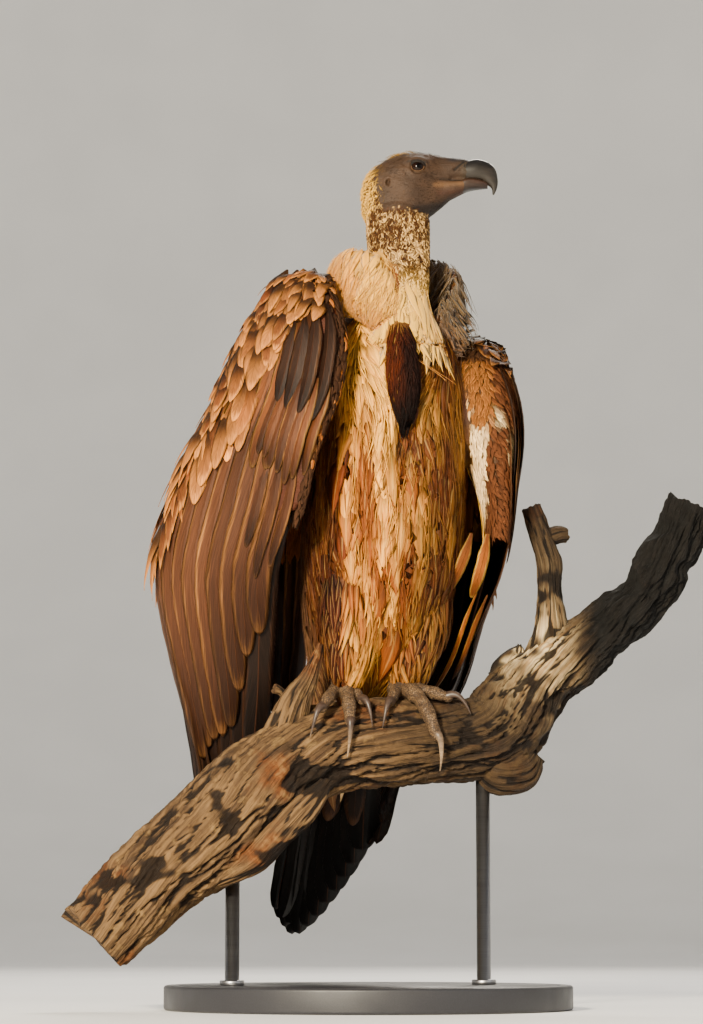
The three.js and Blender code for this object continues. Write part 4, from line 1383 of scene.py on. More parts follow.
# ---------------------------------------------------------------- the trunk
@dataclass
class Trunk:
    """Trunk, crop, thighs and the root of the neck, under lanceolate body feathers."""

    line: Sequence = ((28, 0, 392), (14, 0, 345), (2, 0, 290), (-6, 0, 220), (-15, 0, 150), (-32, 0, 90),
                      (-60, 0, 34), (-92, 0, -14), (-112, 0, -52))
    size: Sequence = ((38, 34, 40), (66, 60, 74), (78, 75, 88), (85, 85, 92), (86, 86, 88), (78, 78, 76),
                      (60, 62, 56), (44, 36, 36), (34, 14, 16))
    crop_line: Sequence = ((67, -22, 362), (73, -25, 335), (80, -27, 298), (80, -25, 264))
    crop_size: Sequence = ((16, 12, 12), (20, 12, 19), (21, 11, 22), (12, 7, 16))
    thigh_lines: Sequence = (((2, -40, 120), (8, -46, 74), (8, -48, 34), (4, -50, 12)),
                             ((2, 38, 120), (8, 32, 74), (8, 22, 34), (4, 14, 12)))
    thigh_size: Sequence = ((38, 40, 36), (35, 38, 32), (27, 28, 24), (20, 20, 17))
    depth: float = 9.0  # of the coat
    crop_depth: float = 5.0
    feather: Vane = Vane(48, 7.6, stations=8, shoulder=0.34, power=1.25, blunt=0.95, camber=0.1, thick=0.3,
                         lift=0.055, droop=0.5, fray=0.18)
    wisp: Vane = Hair(34, 0.7, camber=0.4, thick=0.2, base=2.0, lift=0.1, droop=0.45, fray=0.1)
    short: Vane = Hair(20, 1.2, power=1.3, camber=0.3, thick=0.3, lift=0.08, droop=0.4)
    thigh_feather: Vane = Vane(46, 3.4, stations=6, shoulder=0.3, power=1.15, blunt=0.95, camber=0.16,
                               thick=0.35, lift=0.1, droop=0.5, fray=0.14)

    @staticmethod
    def swell(p: Array) -> Array:
        """Relief of the plumage: long locks, a lobe each side of the crop and a hollow below it.

        Args:
            p: Points on the trunk in the bird's frame.
        Returns:
            Height of each over the plain surface.
        """
        side, z = ahead_of(p), p[..., 2]
        front = smooth(0, 50, p[..., 0])
        locks = 3.4 * noise(p / np.array([15.0, 15.0, 64.0]), 62)
        place = stacked(side, z)
        hollow = 10 * bell(place, (7, 226), (11, 34)) + 5 * bell(place, (22, 300), (12, 60))
        lobe = 11 * bell(place, (-25, 312), (17, 52)) + 3 * bell(place, (52, 250), (16, 60))
        return (locks + lobe - hollow) * front + 0.6 * locks * (1 - front)

    def surface(self, inset: float) -> Relief:
        """The trunk's surface, inset from its solid."""
        return Relief(Loft(self.line, self.size, grow=-inset), self.swell)

    def crop(self, inset: float) -> Loft:
        """The crop's surface."""
        return Loft(self.crop_line, self.crop_size, grow=-inset)

    def thighs(self, inset: float) -> list[Loft]:
        """Both thighs' surfaces, the right one first."""
        return [Loft(line, self.thigh_size, grow=-inset) for line in self.thigh_lines]

    def flesh(self) -> list[Shape]:
        """Closed forms of the flesh, in metres."""
        forms = [(self.surface(self.depth), 72, 60), (self.crop(self.crop_depth), 32, 24)]
        forms += [(thigh, 40, 24) for thigh in self.thighs(7)]
        return [tube(BIRD.world(grid_of(s, around, rows))) for s, around, rows in forms]

    @staticmethod
    def lie(p: Array) -> Array:
        """Down in wandering locks, drawn in over both sides of the crop and spreading below it.

        Args:
            p: Points on the trunk in the bird's frame.
        Returns:
            The way at each point.
        """
        lock = 0.2 * noise(p / 24, 4)
        off = p[..., 1] + 26
        front = smooth(0, 50, p[..., 0])
        drawn = -0.75 * np.tanh(off / 16) * np.exp(-(off / 46) ** 2) * smooth(262, 300, p[..., 2])
        spread = 0.2 * np.tanh(off / 60) * smooth(300, 240, p[..., 2])
        return stacked(0, (drawn + spread) * front + lock, -1)

    def bare_of_crop(self, surface: Surface, roots: Roots) -> Roots:
        """Roots that don't lie under the crop patch.

        Args:
            surface: What they grow on.
            roots: All roots.
        Returns:
            Those that are left.
        """
        p = surface.point(roots.u, roots.v)
        half = 7 + 3 * smooth(390, 330, p[:, 2]) + 5 * noise(p / 9, 17)
        inside = (np.abs(p[:, 1] + 25) < half) & (p[:, 0] > 0) & (p[:, 2] > 272) & (p[:, 2] < 374)
        return roots.kept(~inside)

    def dress(self, finish: Material, wispy: Material, crop: Material) -> None:
        """Grows the body feathers, the wisps between them and the short crop feathers.

        Args:
            finish: Of the body feathers.
            wispy: Of the wisps.
            crop: Of the crop feathers.
        """
        luck = np.random.default_rng(41)
        surface = self.surface(self.depth)
        for name, low, high in (("left", 0.14, 0.5), ("right", 0.5, 0.86)):
            roots = self.bare_of_crop(surface,
                                      scattered(surface, luck, 10.2, (low, 0.0), (high, 0.97), 0.8, 0.74))
            spread = np.exp(0.15 * luck.standard_normal(len(roots.u)))
            roots.scale = mix(0.6, 1.0, smooth(0.0, 0.3, roots.v)) * spread
            coat = Coat(f"breast_feathers_{name}", "gold_plumage", finish)
            coat.grow(surface, roots, self.feather, self.lie, luck, body_colours, 0.12).made()
            roots = self.bare_of_crop(surface,
                                      scattered(surface, luck, 7.6, (low, 0.03), (high, 0.97), 1.0, 0.85))
            wisps = Coat(f"breast_wisps_{name}", "gold_plumage", wispy)
            wisps.grow(surface, roots, self.wisp, self.lie, luck, body_colours, 0.16).made()
        roots = scattered(surface, luck, 15.0, (-0.14, 0.1), (0.14, 0.84), 0.7, 0.74)
        back = Coat("rump_feathers", "gold_plumage", finish)
        back.grow(surface, roots, self.feather, down, luck, body_colours, 0.12,
                  window=(0.2, 0.01, 0.7, 0.98)).made()
        shag = Coat("thigh_feathers", "gold_plumage", finish)
        for thigh, window in zip(self.thighs(7), HALVES):
            roots = scattered(thigh, luck, 8.0, (0, 0.05), (1, 0.96), 0.7, 0.8)
            shag.grow(thigh, roots, self.thigh_feather, self.lie, luck, body_colours, 0.18, window=window)
        shag.made()
        surface = self.crop(self.crop_depth)
        roots = scattered(surface, luck, 3.7, (0, 0.02), (1, 0.97), 0.9, 0.7)
        patch = Coat("crop_feathers", "crop_skin", crop)
        patch.grow(surface, roots, self.short, down, luck, crop_colours, 0.14).made()


# ---------------------------------------------------------------- wings
@dataclass(frozen=True)
class Row:
    """One row of long feathers that hang from a wing's arm, with places down the wing as its t."""

    band: int  # which row of the bake map they take, of seven
    span: tuple[float, float]  # first and last place round the wing
    count: int
    roots: Callable[[float], float] | float  # where they start, or a function that gives it round the wing
    tips: Sequence  # where they end, evenly spaced along the row
    vane: Vane
    height: tuple[float, float]  # of root and tip over the middle surface, outwards
    colours: Colouring
    narrow: float = 0.0  # how far their tips draw together
    over: bool = True  # whether they lie on the arm's outer face; if not, height is from its middle
    turned: bool = False  # whether their blades face forward, not outward


@dataclass
class Wing:
    """One wing, hung like a cloak.

    Rows: height, then x and y of its leading edge, outermost line and back edge.
    """

    name: str
    side: float  # -1 for the right wing
    rows: Sequence
    edge: float  # thickness of the leading edge
    nose: float  # how far it stands forward
    hem: Sequence  # where the coverts end, front to back
    secondary_tips: Sequence
    primary_tips: Sequence
    covert_tips: Sequence
    alula_tips: Sequence
    thumb_tips: Sequence
    seed: int
    slant: float  # how far the rows of coverts rise to the leading edge, as a share
    edge_share: float = 0.66  # how far round the leading edge its small feathers reach
    pale_quills: bool = False
    depth: float = 5.0
    pale_quill: Vane = Quill(80, 5.6, stations=10, shoulder=0.6, power=1.9, camber=0.2)
    thumb: Vane = Quill(80, 7.5, stations=10, power=1.7, camber=0.2, thick=0.7, roll=-5)
    shaft: Vane = Quill(130, 2.4, stations=12, loop=6, shoulder=0.7, power=1.5, camber=0.3, fray=0.03)
    scale: Vane = Vane(17, 4.8, stations=6, shoulder=0.4, power=1.7, blunt=0.7, camber=0.16, thick=0.4,
                       lift=0.24, droop=0.4, fray=0.09, roll=-4)
    lesser: Vane = Vane(27, 6.6, stations=6, shoulder=0.42, power=1.7, blunt=0.7, camber=0.15, thick=0.5,
                        lift=0.2, droop=0.4, fray=0.08, roll=-5)
    pointed: Vane = Vane(42, 6.2, shoulder=0.42, power=1.5, blunt=0.8, camber=0.15, thick=0.5, lift=0.17,
                         droop=0.4, fray=0.08, roll=-6)
    median: Vane = Vane(42, 8.8, stations=8, power=1.8, blunt=0.65, camber=0.14, lift=0.17, droop=0.4,
                        fray=0.05, roll=-6)
    greater: Vane = Vane(72, 10, stations=10, loop=8, shoulder=0.62, power=1.9, blunt=0.65, camber=0.14,
                         thick=0.7, lift=0.1, roll=-7)
    spike: Vane = Vane(60, 5.2, stations=8, shoulder=0.38, power=1.4, blunt=0.85, camber=0.2, thick=0.5,
                       lift=0.14, droop=0.25, fray=0.08, roll=-9)
    edging: Vane = Vane(14, 2.7, stations=5, shoulder=0.38, power=1.4, blunt=0.85, camber=0.2, thick=0.35,
                        lift=0.15, droop=0.5, fray=0.12)
    under: Vane = Vane(52, 6.5, stations=6, shoulder=0.45, power=1.6, blunt=0.8, camber=0.16, thick=0.4,
                       lift=0.08, droop=0.4, fray=0.08)
    quill: Vane = Quill(240, 12.5, stations=20, shoulder=0.8, power=2.0, camber=0.16, thick=0.9, fray=0.035,
                        quill=0.6, roll=-10)
    cover: Vane = Quill(150, 9.5, stations=14, shoulder=0.7, power=1.9, camber=0.16, thick=0.8, quill=0.6,
                        roll=-9)
    alula: Vane = Quill(100, 9.5, stations=12, shoulder=0.6, power=1.8, camber=0.2, thick=0.8, fray=0.03,
                        roll=-5)
    primary: Vane = Quill(300, 15, stations=20, shoulder=0.72, camber=0.14, thick=1.0, fray=0.03, quill=0.5,
                          roll=-7)

    def point(self, s: Array, t: Array) -> Array:
        """Middle surface: s from the leading edge round to the back edge, t from the top to the tips.

        Args:
            s: Place round the wing.
            t: Place down the wing.
        Returns:
            The points.
        """
        s, t = matched(s, t)
        z, lx, ly, mx, my, bx, by = np.moveaxis(along(self.rows, t), -1, 0)
        q = np.clip(s, 0, 1) * 2
        second = q > 1
        f = np.where(second, q - 1, q)
        before, after = np.minimum(s, 0), np.maximum(s - 1, 0)
        xy = []
        for lead, mid, back in ((lx, mx, bx), (ly, my, by)):
            a, b = lead, np.where(second, mid, lead)
            c, d = np.where(second, back, mid), back
            value = 0.5 * (2 * b + (c - a) * f + (2 * a - 5 * b + 4 * c - d) * f ** 2
                           + (3 * b - a - 3 * c + d) * f ** 3)
            xy.append(value + 2 * before * (mid - lead) + 2 * after * (back - mid))
        return stacked(*xy, z)

    def hem_at(self, s: Array) -> Array:
        """Where the coverts end, as t."""
        return along(np.array(self.hem)[:, None], np.clip(s, 0, 1))[..., 0]

    def arm(self, s: Array, r: Array) -> Array:
        """Middle surface of the covered arm: r from the top (0) to the coverts' hem (1) and beyond.

        Args:
            s: Place round the wing.
            r: Place down the arm.
        Returns:
            The points.
        """
        s, r = matched(s, r)
        rise = 7 * np.sin(np.pi * np.clip(s, 0, 1)) * (1 - smooth(0, 0.12, r))
        p = self.point(s - self.nose * (1 - smooth(0, 0.12, s)), r * self.hem_at(s))
        return p + rise[..., None] * np.array([0, 0, 1.0])

    def thickness(self, s: Array, r: Array) -> Array:
        """Thickness of the arm, rounded at the leading edge and the top, thin at the hem.

        Args:
            s: Place round the wing.
            r: Place down the arm.
        Returns:
            Millimetres, for each point.
        """
        def rounded(x: Array, reach: float) -> Array:
            """A round nose over the first stretch."""
            return np.sqrt(np.maximum(1 - ((reach - np.clip(x, 0, reach)) / (reach * 1.03)) ** 2, 0.03))
        body = mix(self.edge, 20, smooth(0.04, 0.5, s)) * rounded(s, 0.1) * rounded(r, 0.12)
        return body * mix(1, 0.42, smooth(0.35, 1, r)) + 1.5

    def face(self, out: bool, inset: float) -> Sheet:
        """The outer or the inner face of the arm."""
        return Sheet(self.arm, halved(self.thickness, inset), facing=-self.side if out else self.side)

    def leading(self, inset: float) -> Nose:
        """The rounded leading edge."""
        return Nose(self.arm, halved(self.thickness, inset), facing=-self.side)

    def flesh(self) -> Shape:
        """The closed arm under its feathers, in metres."""
        s = np.concatenate([[0, 0.01, 0.03, 0.06], np.linspace(0.1, 1, 22)])
        r = np.linspace(0.02, 0.97, 40)[:, None]
        outer = self.face(True, self.depth).point(s[::-1][None], r)
        inner = self.face(False, self.depth - 1).point(s[None], r)
        return tube(BIRD.world(np.concatenate([outer, inner], 1)), Ends.ZIP)

    def sweep(self, p: Array) -> Array:
        """The way the coverts lie: down, and back from the leading edge."""
        return stacked(-0.35 * smooth(-80, 60, p[..., 0]), 0, -1)

    def splay(self, p: Array) -> Array:
        """The way the small feathers of the leading edge lie.

        Down, and on the left wing outwards on its outer half.

        Args:
            p: Points on the edge in the bird's frame.
        Returns:
            The way at each point.
        """
        out = np.array([0.42, 0.9, 0.0])
        turned = 0.7 * smooth(97, 108, ahead_of(p)) - 0.25 * smooth(80, 66, ahead_of(p)) * (self.side > 0)
        return turned[..., None] * out + np.array([0, 0, -1.0])

    def under_hem(self, s: float) -> float:
        """Root of a quill, hidden under the last coverts."""
        return float(self.hem_at(np.array(s)) * self.slanted(np.array(s), np.array(0.5)))

    @staticmethod
    def alula_root(s: float) -> float:
        """Root of an alula feather, lower towards the back."""
        return 0.06 + 0.2 * s

    def slanted(self, s: Array, r: Array) -> Array:
        """Rows of coverts rise steeply towards the leading edge."""
        return r * (1 - self.slant * (1 - smooth(0.0, 0.5, s)))

    def rows_of(self, luck: Luck, first: float, last: float, gap: float, apart: float,
                low: float = 0.0, high: float = 1.0) -> Roots:
        """Roots in slanted rows.

        Args:
            luck: Source of chance.
            first: r of the first row.
            last: r of the last row.
            gap: Distance between rows in millimetres.
            apart: Distance within a row in millimetres.
            low: Least s.
            high: Greatest s.
        """
        tall = 0.43 * (self.rows[0][0] - self.rows[-1][0])
        count = max(int(round((last - first) * tall / gap)), 0) + 1
        us, vs = [], []
        for k, r in enumerate(np.linspace(first, last, count)):
            s = np.linspace(low, high, 60)
            line = self.arm(s, self.slanted(s, np.full(60, r)))
            run = run_of(line)
            many = max(int(run[-1] / apart), 1)
            share = (np.arange(many) + 0.25 + 0.5 * (k % 2) + 0.18 * luck.uniform(-1, 1, many)) / many
            u = np.interp(np.clip(share, 0, 1) * run[-1], run, s)
            us.append(u)
            vs.append(self.slanted(u, np.full(many, r)) + 0.012 * luck.uniform(-1, 1, many))
        u, v = np.concatenate(us), np.concatenate(vs)
        return Roots(u, v, np.ones_like(u))

    def hang(self, coat: Coat, luck: Luck, row: Row) -> None:
        """Adds one row of long feathers.

        Args:
            coat: The piece they join.
            luck: Source of chance.
            row: The row.
        """
        f = (np.arange(row.count) + 0.5) / row.count
        t = row.vane.stops()[None]
        place = mix(*row.span, f)
        at = mix(place[:, None], mix(*row.span, 0.5), row.narrow * t)
        start = np.array([row.roots(s) if callable(row.roots) else row.roots for s in place])[:, None]
        end = along(np.array(row.tips)[:, None], f)[:, :1] + 0.012 * luck.standard_normal((row.count, 1))
        reach = mix(start, end, t)
        hem = self.hem_at(at)
        du = self.arm(at + SHORT, reach / hem) - self.arm(at - SHORT, reach / hem)
        dv = self.arm(at, (reach + SHORT) / hem) - self.arm(at, (reach - SHORT) / hem)
        normal = unit(np.cross(du, dv)) * -self.side
        lay = mix(*row.height, t) + 0.5 * (np.arange(row.count) % 2)[:, None]
        if row.over:
            lay = lay + (np.maximum(self.thickness(at, reach / hem) / 2 - self.depth, 0)
                         * smooth(1.5, 0.95, reach / hem))
        spine = self.arm(at, reach / hem) + normal * lay[..., None]
        if row.turned:
            normal = -unit(du)
        length = np.linalg.norm(np.diff(spine, axis=1), axis=-1).sum(1)
        size = stacked(length, row.vane.half * luck.uniform(0.92, 1.08, row.count))
        tint, rim = row.colours(BIRD.world(spine[:, 0]), luck)
        corner = stacked(f, (row.band + 0.5) / BANDS)
        patch = np.array([0.85 / row.count, 0.9 / BANDS])
        coat.shapes.append(row.vane.built(spine, normal, luck, BIRD, size, corner, tint, rim, patch))

    def flight_rows(self) -> list[Row]:
        """Secondaries, their coverts, primaries, alula and thumb feathers, and those of the front edge."""
        secondary, covert, primary = self.secondary_tips, self.covert_tips, self.primary_tips
        alula, thumb = self.alula_tips, self.thumb_tips
        rows = [
            Row(0, (0.06, 0.98), 22, self.under_hem, secondary, self.quill, (0.5, -3.0), quill_colours(0.25)),
            Row(4, (0.1, 0.98), 19, self.under_hem, covert, self.cover, (2.5, 1.5), quill_colours(0.0, 0.12)),
            Row(1, (0.03, 0.84), 12, 0.4, primary, self.primary, (-9.0, -9.0), quill_colours(0.95),
                narrow=0.12, over=False),
            Row(2, (0.0, 0.17), 4, self.alula_root, alula, self.alula, (2.0, 3.5), quill_colours(0.85)),
            Row(3, (0.0, 0.17), 7, 0.19, thumb, self.thumb, (2.0, 3.0), quill_colours(0.45, 0.05)),
        ]
        if not self.pale_quills:
            return rows + [Row(6, (0.02, 0.15), 3, 0.3, (0.5, 0.49, 0.46), self.thumb, (0.0, 1.0),
                               quill_colours(0.4))]
        for root, tip, vane, height, colours in (
                (0.43, 0.575, self.pale_quill, (-30.0, -42.0), quill_colours(0.35, 0.5)),
                (0.43, 0.575, self.pale_quill, (-14.0, -18.0), quill_colours(0.35, 0.5)),
                (0.55, 0.76, self.shaft, (-14.0, -26.0), quill_colours(0.3, 0.6)),
                (0.55, 0.7, self.shaft, (-3.0, -14.0), quill_colours(0.3, 0.6))):
            rows.append(Row(5, (0.0, 0.02), 1, root, (tip, tip), vane, height, colours, over=False,
                            turned=True))
        return rows

    def dress(self, covert: Material, quill: Material, downy: Material) -> None:
        """Grows the coverts of both faces and hangs the flight feathers.

        Args:
            covert: Finish of the coverts.
            quill: Finish of the flight feathers.
            downy: Finish of the small feathers of edge and lining.
        """
        luck = np.random.default_rng(self.seed)
        outer = self.face(True, self.depth)
        coat = Coat(f"coverts_{self.name}", "brown_plumage", covert)
        sheets = (
            (self.rows_of(luck, 0.42, 0.56, 26, 12.5, 0.26, 0.46), self.greater, 0.07),
            (self.rows_of(luck, 0.5, 0.88, 15, 7.5, 0.42, 1.0), self.spike, 0.14),
            (self.rows_of(luck, 0.12, 0.36, 15, 11.0, 0.16, 0.46), self.median, 0.1),
            (self.rows_of(luck, 0.1, 0.34, 10, 8.0, 0.03, 0.2), self.lesser, 0.12),
            (self.rows_of(luck, 0.28, 0.62, 12.5, 8.0, 0.4, 1.0), self.pointed, 0.14),
            (self.rows_of(luck, 0.03, 0.2, 8.5, 8.0, 0.03, 0.42), self.lesser, 0.14),
            (self.rows_of(luck, 0.1, 0.36, 9.5, 8.0, 0.38, 1.0), self.lesser, 0.14),
            (self.rows_of(luck, -0.02, 0.13, 6.0, 6.0, 0.02, 1.0), self.scale, 0.2),
        )
        for roots, vane, stray in sheets:
            roots.scale = 1.16 * np.exp(0.12 * luck.standard_normal(len(roots.u)))
            coat.grow(outer, roots, vane, self.sweep, luck, covert_colours, stray)
        coat.made()
        nose = self.leading(self.depth)
        roots = scattered(nose, luck, 4.8, (0.0, 0.0), (self.edge_share, 0.98), 0.9, 0.8)
        front = Coat(f"edge_{self.name}", "brown_plumage", downy)
        front.grow(nose, roots, self.edging, self.splay, luck, edge_colours, 0.25).made()
        inner = self.face(False, self.depth)
        roots = scattered(inner, luck, 17.0, (0.1, 0.02), (1, 0.9), 0.6, 0.6)
        lining = Coat(f"lining_{self.name}", "down", downy)
        lining.grow(inner, roots, self.under, self.sweep, luck, under_colours, 0.12).made()
        flight = Coat(f"flight_{self.name}", "flight_feather", quill,
                      (f"secondaries_{self.name}", f"primaries_{self.name}"))
        for row in self.flight_rows():
            self.hang(flight, luck, row)
        flight.made()


RIGHT_WING = Wing(
    name="right", side=-1, edge=46, nose=0.06, hem=(0.42, 0.43, 0.46, 0.44, 0.4), seed=51,
    slant=0.66, covert_tips=(0.34, 0.29, 0.32, 0.42, 0.54, 0.57, 0.54, 0.5, 0.5),
    alula_tips=(0.27, 0.25, 0.22),
    thumb_tips=(0.36, 0.34, 0.3),
    rows=((408, 34, -92, -12, -116, -60, -78), (350, 62, -96, -50, -138, -106, -34),
          (292, 64, -105, -76, -152, -128, -16), (234, 54, -123, -96, -174, -140, -10),
          (176, 36, -130, -108, -193, -147, -9), (118, 6, -134, -113, -198, -151, -10),
          (60, -24, -121, -117, -185, -153, -14), (2, -50, -108, -124, -166, -156, -22),
          (-56, -84, -94, -140, -146, -167, -28), (-114, -120, -72, -156, -122, -178, -28),
          (-176, -154, -42, -174, -68, -188, -24)),
    secondary_tips=(0.6, 0.74, 0.79, 0.74, 0.66, 0.7, 0.72),
    primary_tips=(0.82, 0.92, 0.98, 1, 0.97, 0.93, 0.88))
LEFT_WING = Wing(
    name="left", side=1, edge=76, nose=0.1, hem=(0.43, 0.44, 0.44, 0.42, 0.4), seed=52,
    slant=0.5, covert_tips=(0.44, 0.46, 0.48, 0.52, 0.54, 0.54, 0.5, 0.5), alula_tips=(0.32, 0.34, 0.34),
    thumb_tips=(0.42, 0.44, 0.46), pale_quills=True, edge_share=1.0,
    rows=((364, 14, 82, -30, 98, -60, 70), (318, 46, 78, -54, 124, -104, 28),
          (270, 58, 84, -70, 144, -122, 14),
          (222, 60, 89, -80, 153, -134, 10), (174, 58, 94, -88, 157, -141, 9),
          (126, 38, 99, -94, 153, -145, 10),
          (78, 8, 101, -102, 147, -147, 15), (26, -28, 105, -112, 138, -150, 23),
          (-26, -76, 100, -132, 122, -160, 32),
          (-78, -120, 86, -148, 86, -169, 44), (-130, -142, 80, -162, 68, -180, 44)),
    secondary_tips=(0.62, 0.72, 0.74, 0.7, 0.66, 0.68, 0.7), primary_tips=(0.94, 1, 1, 0.98, 0.95, 0.9, 0.86))


# ---------------------------------------------------------------- mantle and tail
@dataclass
class Mantle:
    """The shield of back feathers over the roots of both wings.

    Rows: height, then right edge, middle and left edge.
    """

    rows: Sequence = ((412, -46, -90, -60, 0, -46, 84), (362, -100, -110, -116, 0, -92, 98),
                      (308, -128, -102, -142, 0, -124, 96), (254, -147, -82, -155, 0, -145, 78),
                      (200, -162, -46, -166, 0, -160, 44))
    feather: Vane = Vane(74, 17, stations=9, loop=8, power=1.9, camber=0.2, thick=0.7, lift=0.1, droop=0.4)
    small: Vane = Vane(46, 12, shoulder=0.45, power=1.7, lift=0.12, droop=0.45, fray=0.05)

    def middle(self, s: Array, t: Array) -> Array:
        """Middle surface, its hem highest at both sides.

        Args:
            s: Place across, from the right edge.
            t: Place down.
        Returns:
            The points.
        """
        s, t = matched(s, t)
        hem = 1 - 0.34 * (2 * np.clip(s, 0, 1) - 1) ** 2
        z, rx, ry, cx, cy, lx, ly = np.moveaxis(along(self.rows, t * hem), -1, 0)
        right, left = (1 - s) * (1 - 2 * s), s * (2 * s - 1)
        centre = 4 * s * (1 - s)
        return stacked(right * rx + centre * cx + left * lx, right * ry + centre * cy + left * ly, z)

    def thickness(self, s: Array, t: Array) -> Array:
        """Thickness of the shield."""
        return mix(22, 5, np.clip(t, 0, 1)) * mix(1, 0.4, (2 * np.clip(s, 0, 1) - 1) ** 4)

    def face(self, out: bool, inset: float) -> Sheet:
        """The outer or the inner face."""
        return Sheet(self.middle, halved(self.thickness, inset), facing=1 if out else -1)

    @staticmethod
    def filling(s: Array, t: Array) -> Array:
        """How far the flesh reaches in towards the trunk."""
        return mix(44, 6, np.clip(t, 0, 1)) + np.zeros_like(s)

    def flesh(self) -> Shape:
        """The closed shield under its feathers, filled through to the trunk, in metres."""
        s = np.linspace(0.02, 0.98, 26)
        t = np.linspace(0.01, 0.93, 30)[:, None]
        outer = self.face(True, 7).point(s[None], t)
        inner = Sheet(self.middle, self.filling, facing=-1).point(s[::-1][None], t)
        return tube(BIRD.world(np.concatenate([outer, inner], 1)), Ends.ZIP)

    @staticmethod
    def lie(p: Array) -> Array:
        """Down, drawing in to the middle of the back."""
        return stacked(0, -0.2 * np.tanh(p[..., 1] / 50), -1)

    def dress(self, finish: Material) -> None:
        """Grows the back feathers."""
        luck = np.random.default_rng(61)
        outer = self.face(True, 7)
        coat = Coat("mantle_feathers", "brown_plumage", finish, ("mantle",))
        for vane, apart, top, foot, ratio, stray in ((self.feather, 22, 0.22, 0.9, 0.85, 0.1),
                                                     (self.small, 15, -0.06, 0.26, 0.9, 0.14)):
            roots = scattered(outer, luck, apart, (0.02, top), (0.98, foot), 0.5, ratio)
            coat.grow(outer, roots, vane, self.lie, luck, covert_colours, stray)
        coat.made()


@dataclass
class Tail:
    """The folded tail: long dark feathers fanned from its root."""

    root: tuple[float, float, float] = (-106, 2, -22)
    end: tuple[float, float, float] = (-188, 20, -206)
    half_root: float = 34
    half_end: float = 54
    tips: Sequence = (0.98, 1.08, 1.15, 1.08, 0.94, 0.79, 0.64)
    count: int = 12
    feather: Vane = Quill(200, 17, stations=18, shoulder=0.84, camber=0.14, thick=1.0, quill=0.5, fray=0.03,
                          roll=-6)
    covering: Vane = Vane(70, 12, stations=8, power=1.8, camber=0.2, lift=0.07, fray=0.06)

    def middle(self, f: Array, t: Array) -> Array:
        """Middle surface: f across from its right to its left, t from the root on.

        Args:
            f: Place across.
            t: Place from root to tip.
        Returns:
            The points.
        """
        f, t = matched(f, t)
        centre = mix(np.array(self.root, float), np.array(self.end, float), t[..., None])
        half = mix(self.half_root, self.half_end, t)
        bow = 8 * (1 - (2 * f - 1) ** 2)
        return centre + stacked(-bow, half * (2 * f - 1), 0)

    def dress(self, quill: Material, finish: Material) -> None:
        """Hangs the tail feathers and grows the coverts over their roots.

        Args:
            quill: Finish of the tail feathers.
            finish: Finish of their coverts.
        """
        luck = np.random.default_rng(71)
        coat = Coat("tail_feathers", "flight_feather", quill, ("tail",))
        f = (np.arange(self.count) + 0.5) / self.count
        t = self.feather.stops()[None]
        reach = along(np.array(self.tips)[:, None], f)[:, :1]
        surface = Sheet(self.middle, level(0.0))
        at = np.broadcast_to(f[:, None], (self.count, t.shape[1]))
        p, normal, _, _ = surface.tangents(at, -0.16 + t * (reach + 0.16))
        centred = np.abs(np.arange(self.count) - (self.count - 1) / 2)[:, None]
        spine = p + normal * (3.0 - 0.9 * centred)[..., None]
        length = np.linalg.norm(np.diff(spine, axis=1), axis=-1).sum(1)
        size = stacked(length, self.feather.half * np.ones(self.count))
        tint, rim = quill_colours(1.0)(BIRD.world(spine[:, 0]), luck)
        corner = stacked(f, np.full(self.count, 0.5))
        coat.shapes.append(self.feather.built(spine, normal, luck, BIRD, size, corner, tint * 0.3, rim * 0.35,
                                              np.array([0.85 / self.count, 0.9])))
        coat.made()
        cover = Coat("tail_coverts", "brown_plumage", finish)
        for way, window in zip((-1, 1), HALVES):
            face = Sheet(self.middle, level(4.0), facing=way)
            roots = scattered(face, luck, 20, (0.02, -0.1), (0.98, 0.2), 0.5, 0.8)
            cover.grow(face, roots, self.covering, down, luck, quill_colours(0.9), 0.1, window=window)
        cover.made()


